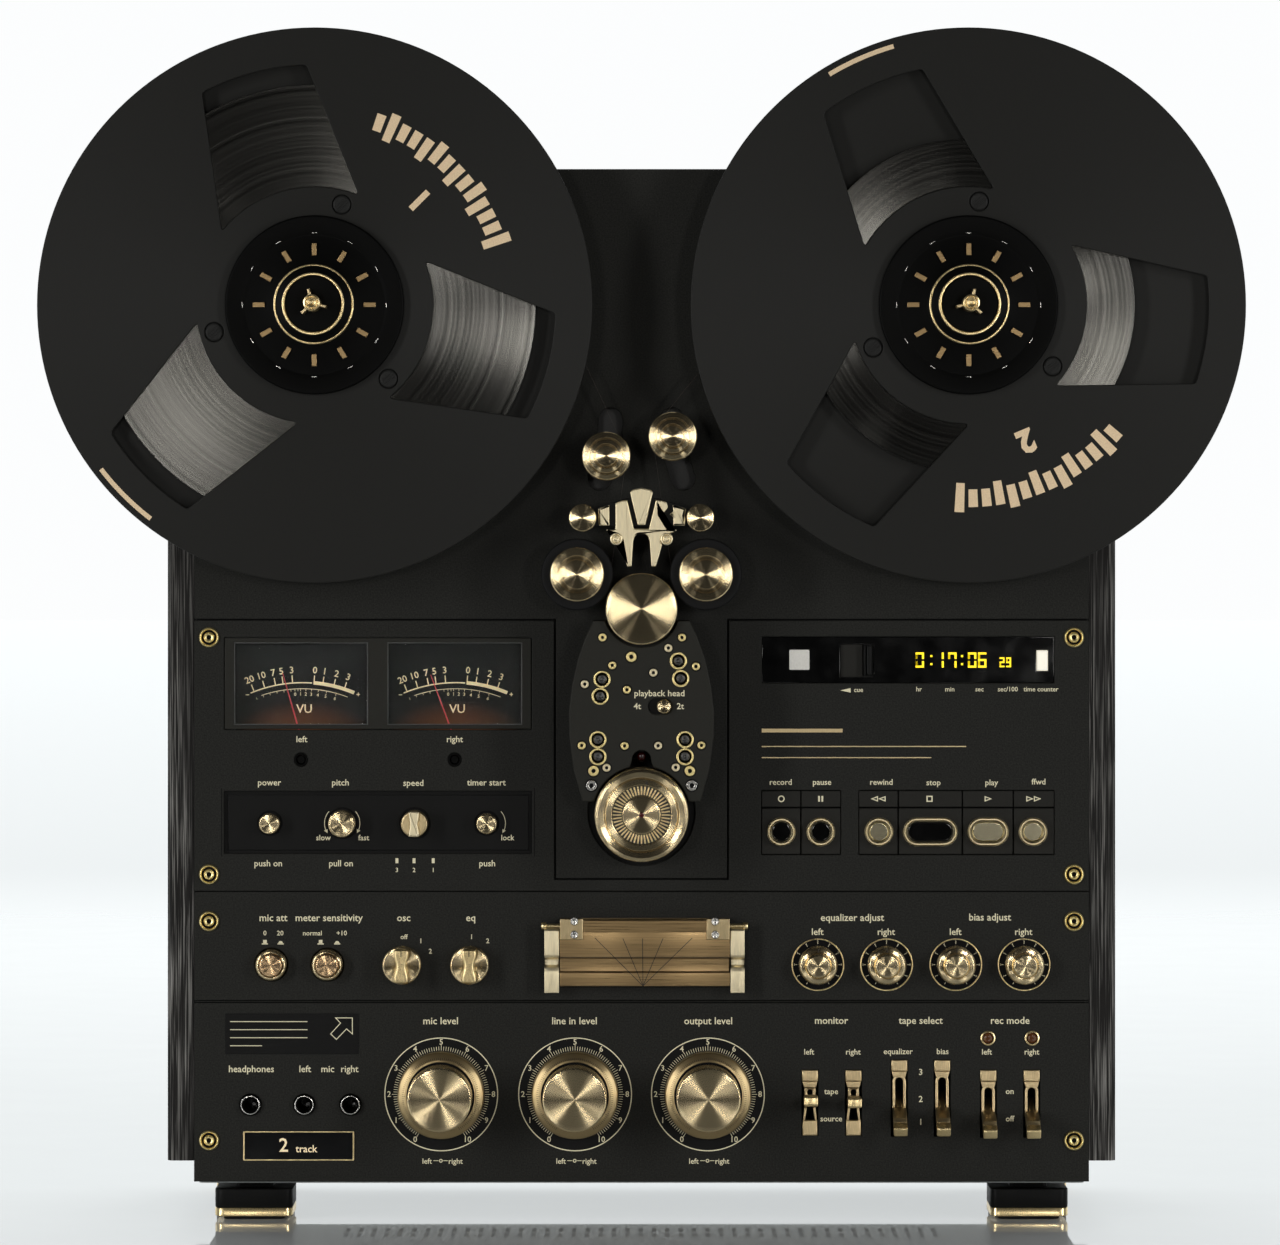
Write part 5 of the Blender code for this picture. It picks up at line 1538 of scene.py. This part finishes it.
# (reach from the pivot, height) outlines of a lever
LEVER_STEM = ((-2.5, -1.5), (12, -1.5), (12, 1.5), (-2.5, 1.5))
LEVER_BLADE = ((11.2, -1.7), (20, -2.2), (24.6, -2.6), (24.6, 2.2), (22, 3), (16, 2.6), (11.2, 1.9))
LEVER_TIP = ((24.4, -2.7), (29.6, -2.6), (30, -1.8), (30, 1.4), (29.6, 2.2), (24.4, 2.3))
LAMP_JEWEL = ((0, -1), (1.4, -0.9), (2.5, -0.1), (2.7, 0.6), (2.7, 4), (0, 4))
LAMP_RIM = ((2.75, -0.6), (2.8, -1.1), (3.6, -0.8), (3.6, 0.2), (2.75, 0.2))


def escutcheon(bm, x, z0, z1, rest):
    bar(bm, x - 3.9, x + 3.9, -0.5, 3, z1 - 5.6, z1 - 0.2, 0.5)
    neck = [(x - 3.6, z1 - 5.8), (x - 2.9, z1 - 8.6), (x + 2.9, z1 - 8.6), (x + 3.6, z1 - 5.8)]
    slab(bm, neck, 0.3, 3, 0.2)
    if rest < 0:
        path = ((x, (z0 + z1) / 2 - 5.2), (x, z1 - 10.6))
        slab(bm, slot_outline(path, 3.3, 10), 0.2, 2.6, 0.4, [slot_outline(path, 1.9, 10)])
        return
    slab(bm, rectangle(x - 2.7, x + 2.7, z1 - 13, z1 - 9), 0, 2.6, 0.3,
         [slot_outline(((x, z1 - 11.4), (x, z1 - 10.8)), 1.35, 8)])
    bar(bm, x - 3.6, x + 3.6, -0.3, 3, z0 + 0.2, z0 + 7.6, 0.5)
    for side in SIDES.values():
        rail = [(x + side * 2.4, z0 + 7.4), (x + side * 3.3, z0 + 7.4), (x + side * 2.7, z0 + 14),
                (x + side * 1.5, z0 + 14)]
        slab(bm, rail, 0.3, 3, 0.2)


def make_lever(name, x, z0, z1, rest):
    turn = math.radians(rest)

    def placed(outline):
        return [(LEVER_PIVOT_Y - (u * math.cos(turn) - v * math.sin(turn)),
                 (z0 + z1) / 2 + u * math.sin(turn) + v * math.cos(turn)) for u, v in outline]

    @shape(f"{name}_blade", "satin_brass", name, True)
    def body(bm):
        slab(bm, placed(LEVER_STEM), x - 1.3, x + 1.3, 0.3, (), along_x, True)
        slab(bm, softened(placed(LEVER_BLADE), 0.6), x - LEVER_HALF, x + LEVER_HALF, 0.5, (), along_x, True)

    plate(f"{name}_tip", "polished_brass", name, softened(placed(LEVER_TIP), 0.4), x - LEVER_HALF - 0.1,
          x + LEVER_HALF + 0.1, 0.6, (), along_x, True)


def make_levers():
    on = "amplifier_panel"
    @shape("lever_escutcheons", "warm_brass", on)
    def escutcheons(bm):
        for lever in LEVERS.values():
            escutcheon(bm, *lever)

    for name, lever in LEVERS.items():
        make_lever(name, *lever)

    # near-black floors and walls inside the lever slots: painted shade
    @shape("lever_slot_shade_liners", "gap_black", on)
    def liners(bm):
        for x, z0, z1, _ in LEVERS.values():
            bar(bm, x - 4.1, x + 4.1, 12.5, 13, z0, z1, 0)
            for side in SIDES.values():
                bar(bm, x + side * 4.3 - 0.15, x + side * 4.3 + 0.15, 0.4, 13, z0, z1, 0)

    lathed_set("record_lamps", LAMPS, LAMP_JEWEL, "lens_amber", on, 0.3, 36)
    lathed_set("record_lamp_rims", LAMPS, LAMP_RIM, "polished_brass", on, 0.15, 40, True)


# ---------------- splicing block
BLOCK = (-39.5, 42.7, 116.3, 149)
ROD = (-5.2, 145.2)      # the clamp rod's (y, z)
ROD_PROFILE = (          # (radius, x)
    (0, -48.5), (1.6, -48.5), (1.9, -48.2), (1.9, -46.2), (1.2, -46), (1.2, 49), (1.9, 49.2), (1.9, 51.3),
    (1.6, 51.6), (0, 51.6),
)
ROD_COUNT = 28
CUTS = ((-22.5, 139.6), (-9, 139.4), (0.5, 139.4), (10.4, 139.4), (24.5, 139.6))
CUT_Y = -8.03
SPLICING_SCREW = ((0, -9.9), (0.5, -9.9), (0.7, -10.4), (1.7, -10.5), (2.1, -9.9), (2.1, -9.1), (0, -9.1))


def clamp_rod(bm):
    rings = []
    for r, x in ROD_PROFILE:
        points = circle(*ROD, r, ROD_COUNT) if r else [ROD]
        rings.append([bm.verts.new((x, y, z)) for y, z in points])
    for near, far in zip(rings[1:-1], rings[2:-1]):
        walls(bm, near, far)
    for tip, ring in ((rings[0][0], rings[1]), (rings[-1][0], rings[-2])):
        for i in range(ROD_COUNT):
            bm.faces.new((tip, ring[i], ring[(i + 1) % ROD_COUNT]))


def make_splicing_block():
    on = "splicing_block"
    x0, x1, z0, z1 = BLOCK
    y, z = ROD
    profile = (
        (-0.3, z0), (-0.3, z1), (-8, z1), (-8, z + 2.5), (-2.6, z + 2.5), (-2.6, z - 2.5), (-8, z - 2.5),
        (-8, 130.2), (-7.2, 129.6), (-7.1, 126.4), (-7.2, 123.4), (-8, 122.8), (-8, z0),
    )
    plate("splicing_bed", "brushed_brass", on, softened(profile, 0.25), x0, x1, 0.3, (), along_x, True, True)
    cover = rectangle(x0 + 11.1, x1 - 11.1, z - 3, z1)
    plate("splicing_cover", "brushed_brass", on, cover, -8, -7.3, 0.15)

    @shape("splicing_brackets", "satin_brass", on)
    def brackets(bm):
        for a, b in ((x0 + 0.05, x0 + 11.2), (x1 - 11.2, x1 - 0.05)):
            slab(bm, softened(rectangle(a, b, 138.8, z1 - 0.05), 0.5), -9.2, -7.6, 0.3)

    screws = grid((x0 + 7, x1 - 7.1), (141.3, 147.8))
    lathed_set("splicing_screws", screws, SPLICING_SCREW, "steel", on, 0.15, 28)

    @shape("splicing_cut_lines", "print_dark", on)
    def cuts(bm):
        low = Vector((0.7, z0 + 0.1))
        for cut in CUTS:
            high = Vector(cut)
            across = (high - low).orthogonal().normalized() * 0.16
            mark(bm, [tuple(p) for p in (low - across, low + across, high + across, high - across)], CUT_Y)
        mark(bm, rectangle(x0 + 0.3, x1 - 0.3, 130.1, 130.35), CUT_Y)

    piece("clamp_rod", clamp_rod, "polished_brass", "tape_clamps", True, (0, z))
    strip = (
        (y - 3, z - 2), (y - 3, 131.2), (y - 2.2, 129.9), (y - 1, 129.2), (y - 1, 126.4), (y - 2.6, 125.2),
        (y - 3.2, 123.6), (y - 3.4, 121.2), (y - 3.2, 116.8), (y - 3.2, 113), (y - 2, 113), (y - 1.9, 121.4),
        (y - 0.6, 124.4), (y + 0.7, 126.4), (y + 0.7, 130), (y - 1.4, 132), (y - 1.4, z - 0.8),
    )

    @shape("clamp_strips", "champagne", "tape_clamps")
    def strips(bm):
        for a, b in ((-47, x0 - 0.4), (x1 + 0.4, 49.9)):
            slab(bm, softened(strip, 0.4), a, b, 0.25, (), along_x, True)


def make_deck():
    for make in (make_transport_panel, make_amplifier_panel, make_panel_screws, make_cabinet, make_feet):
        make()
    for name in REELS:
        for make in (make_reel, make_hub, make_tension_arm, make_pinch_roller):
            make(name)
    for make in (make_capstan, make_return_roller, make_head_block, make_guide_bracket, make_tape, make_meters,
                 make_switch_row, make_transport_print, make_counter, make_keys, make_amplifier_controls,
                 make_level_controls, make_sockets, make_plates, make_amplifier_print, make_levers,
                 make_splicing_block):
        make()


make_looks()
make_stage()
make_deck()
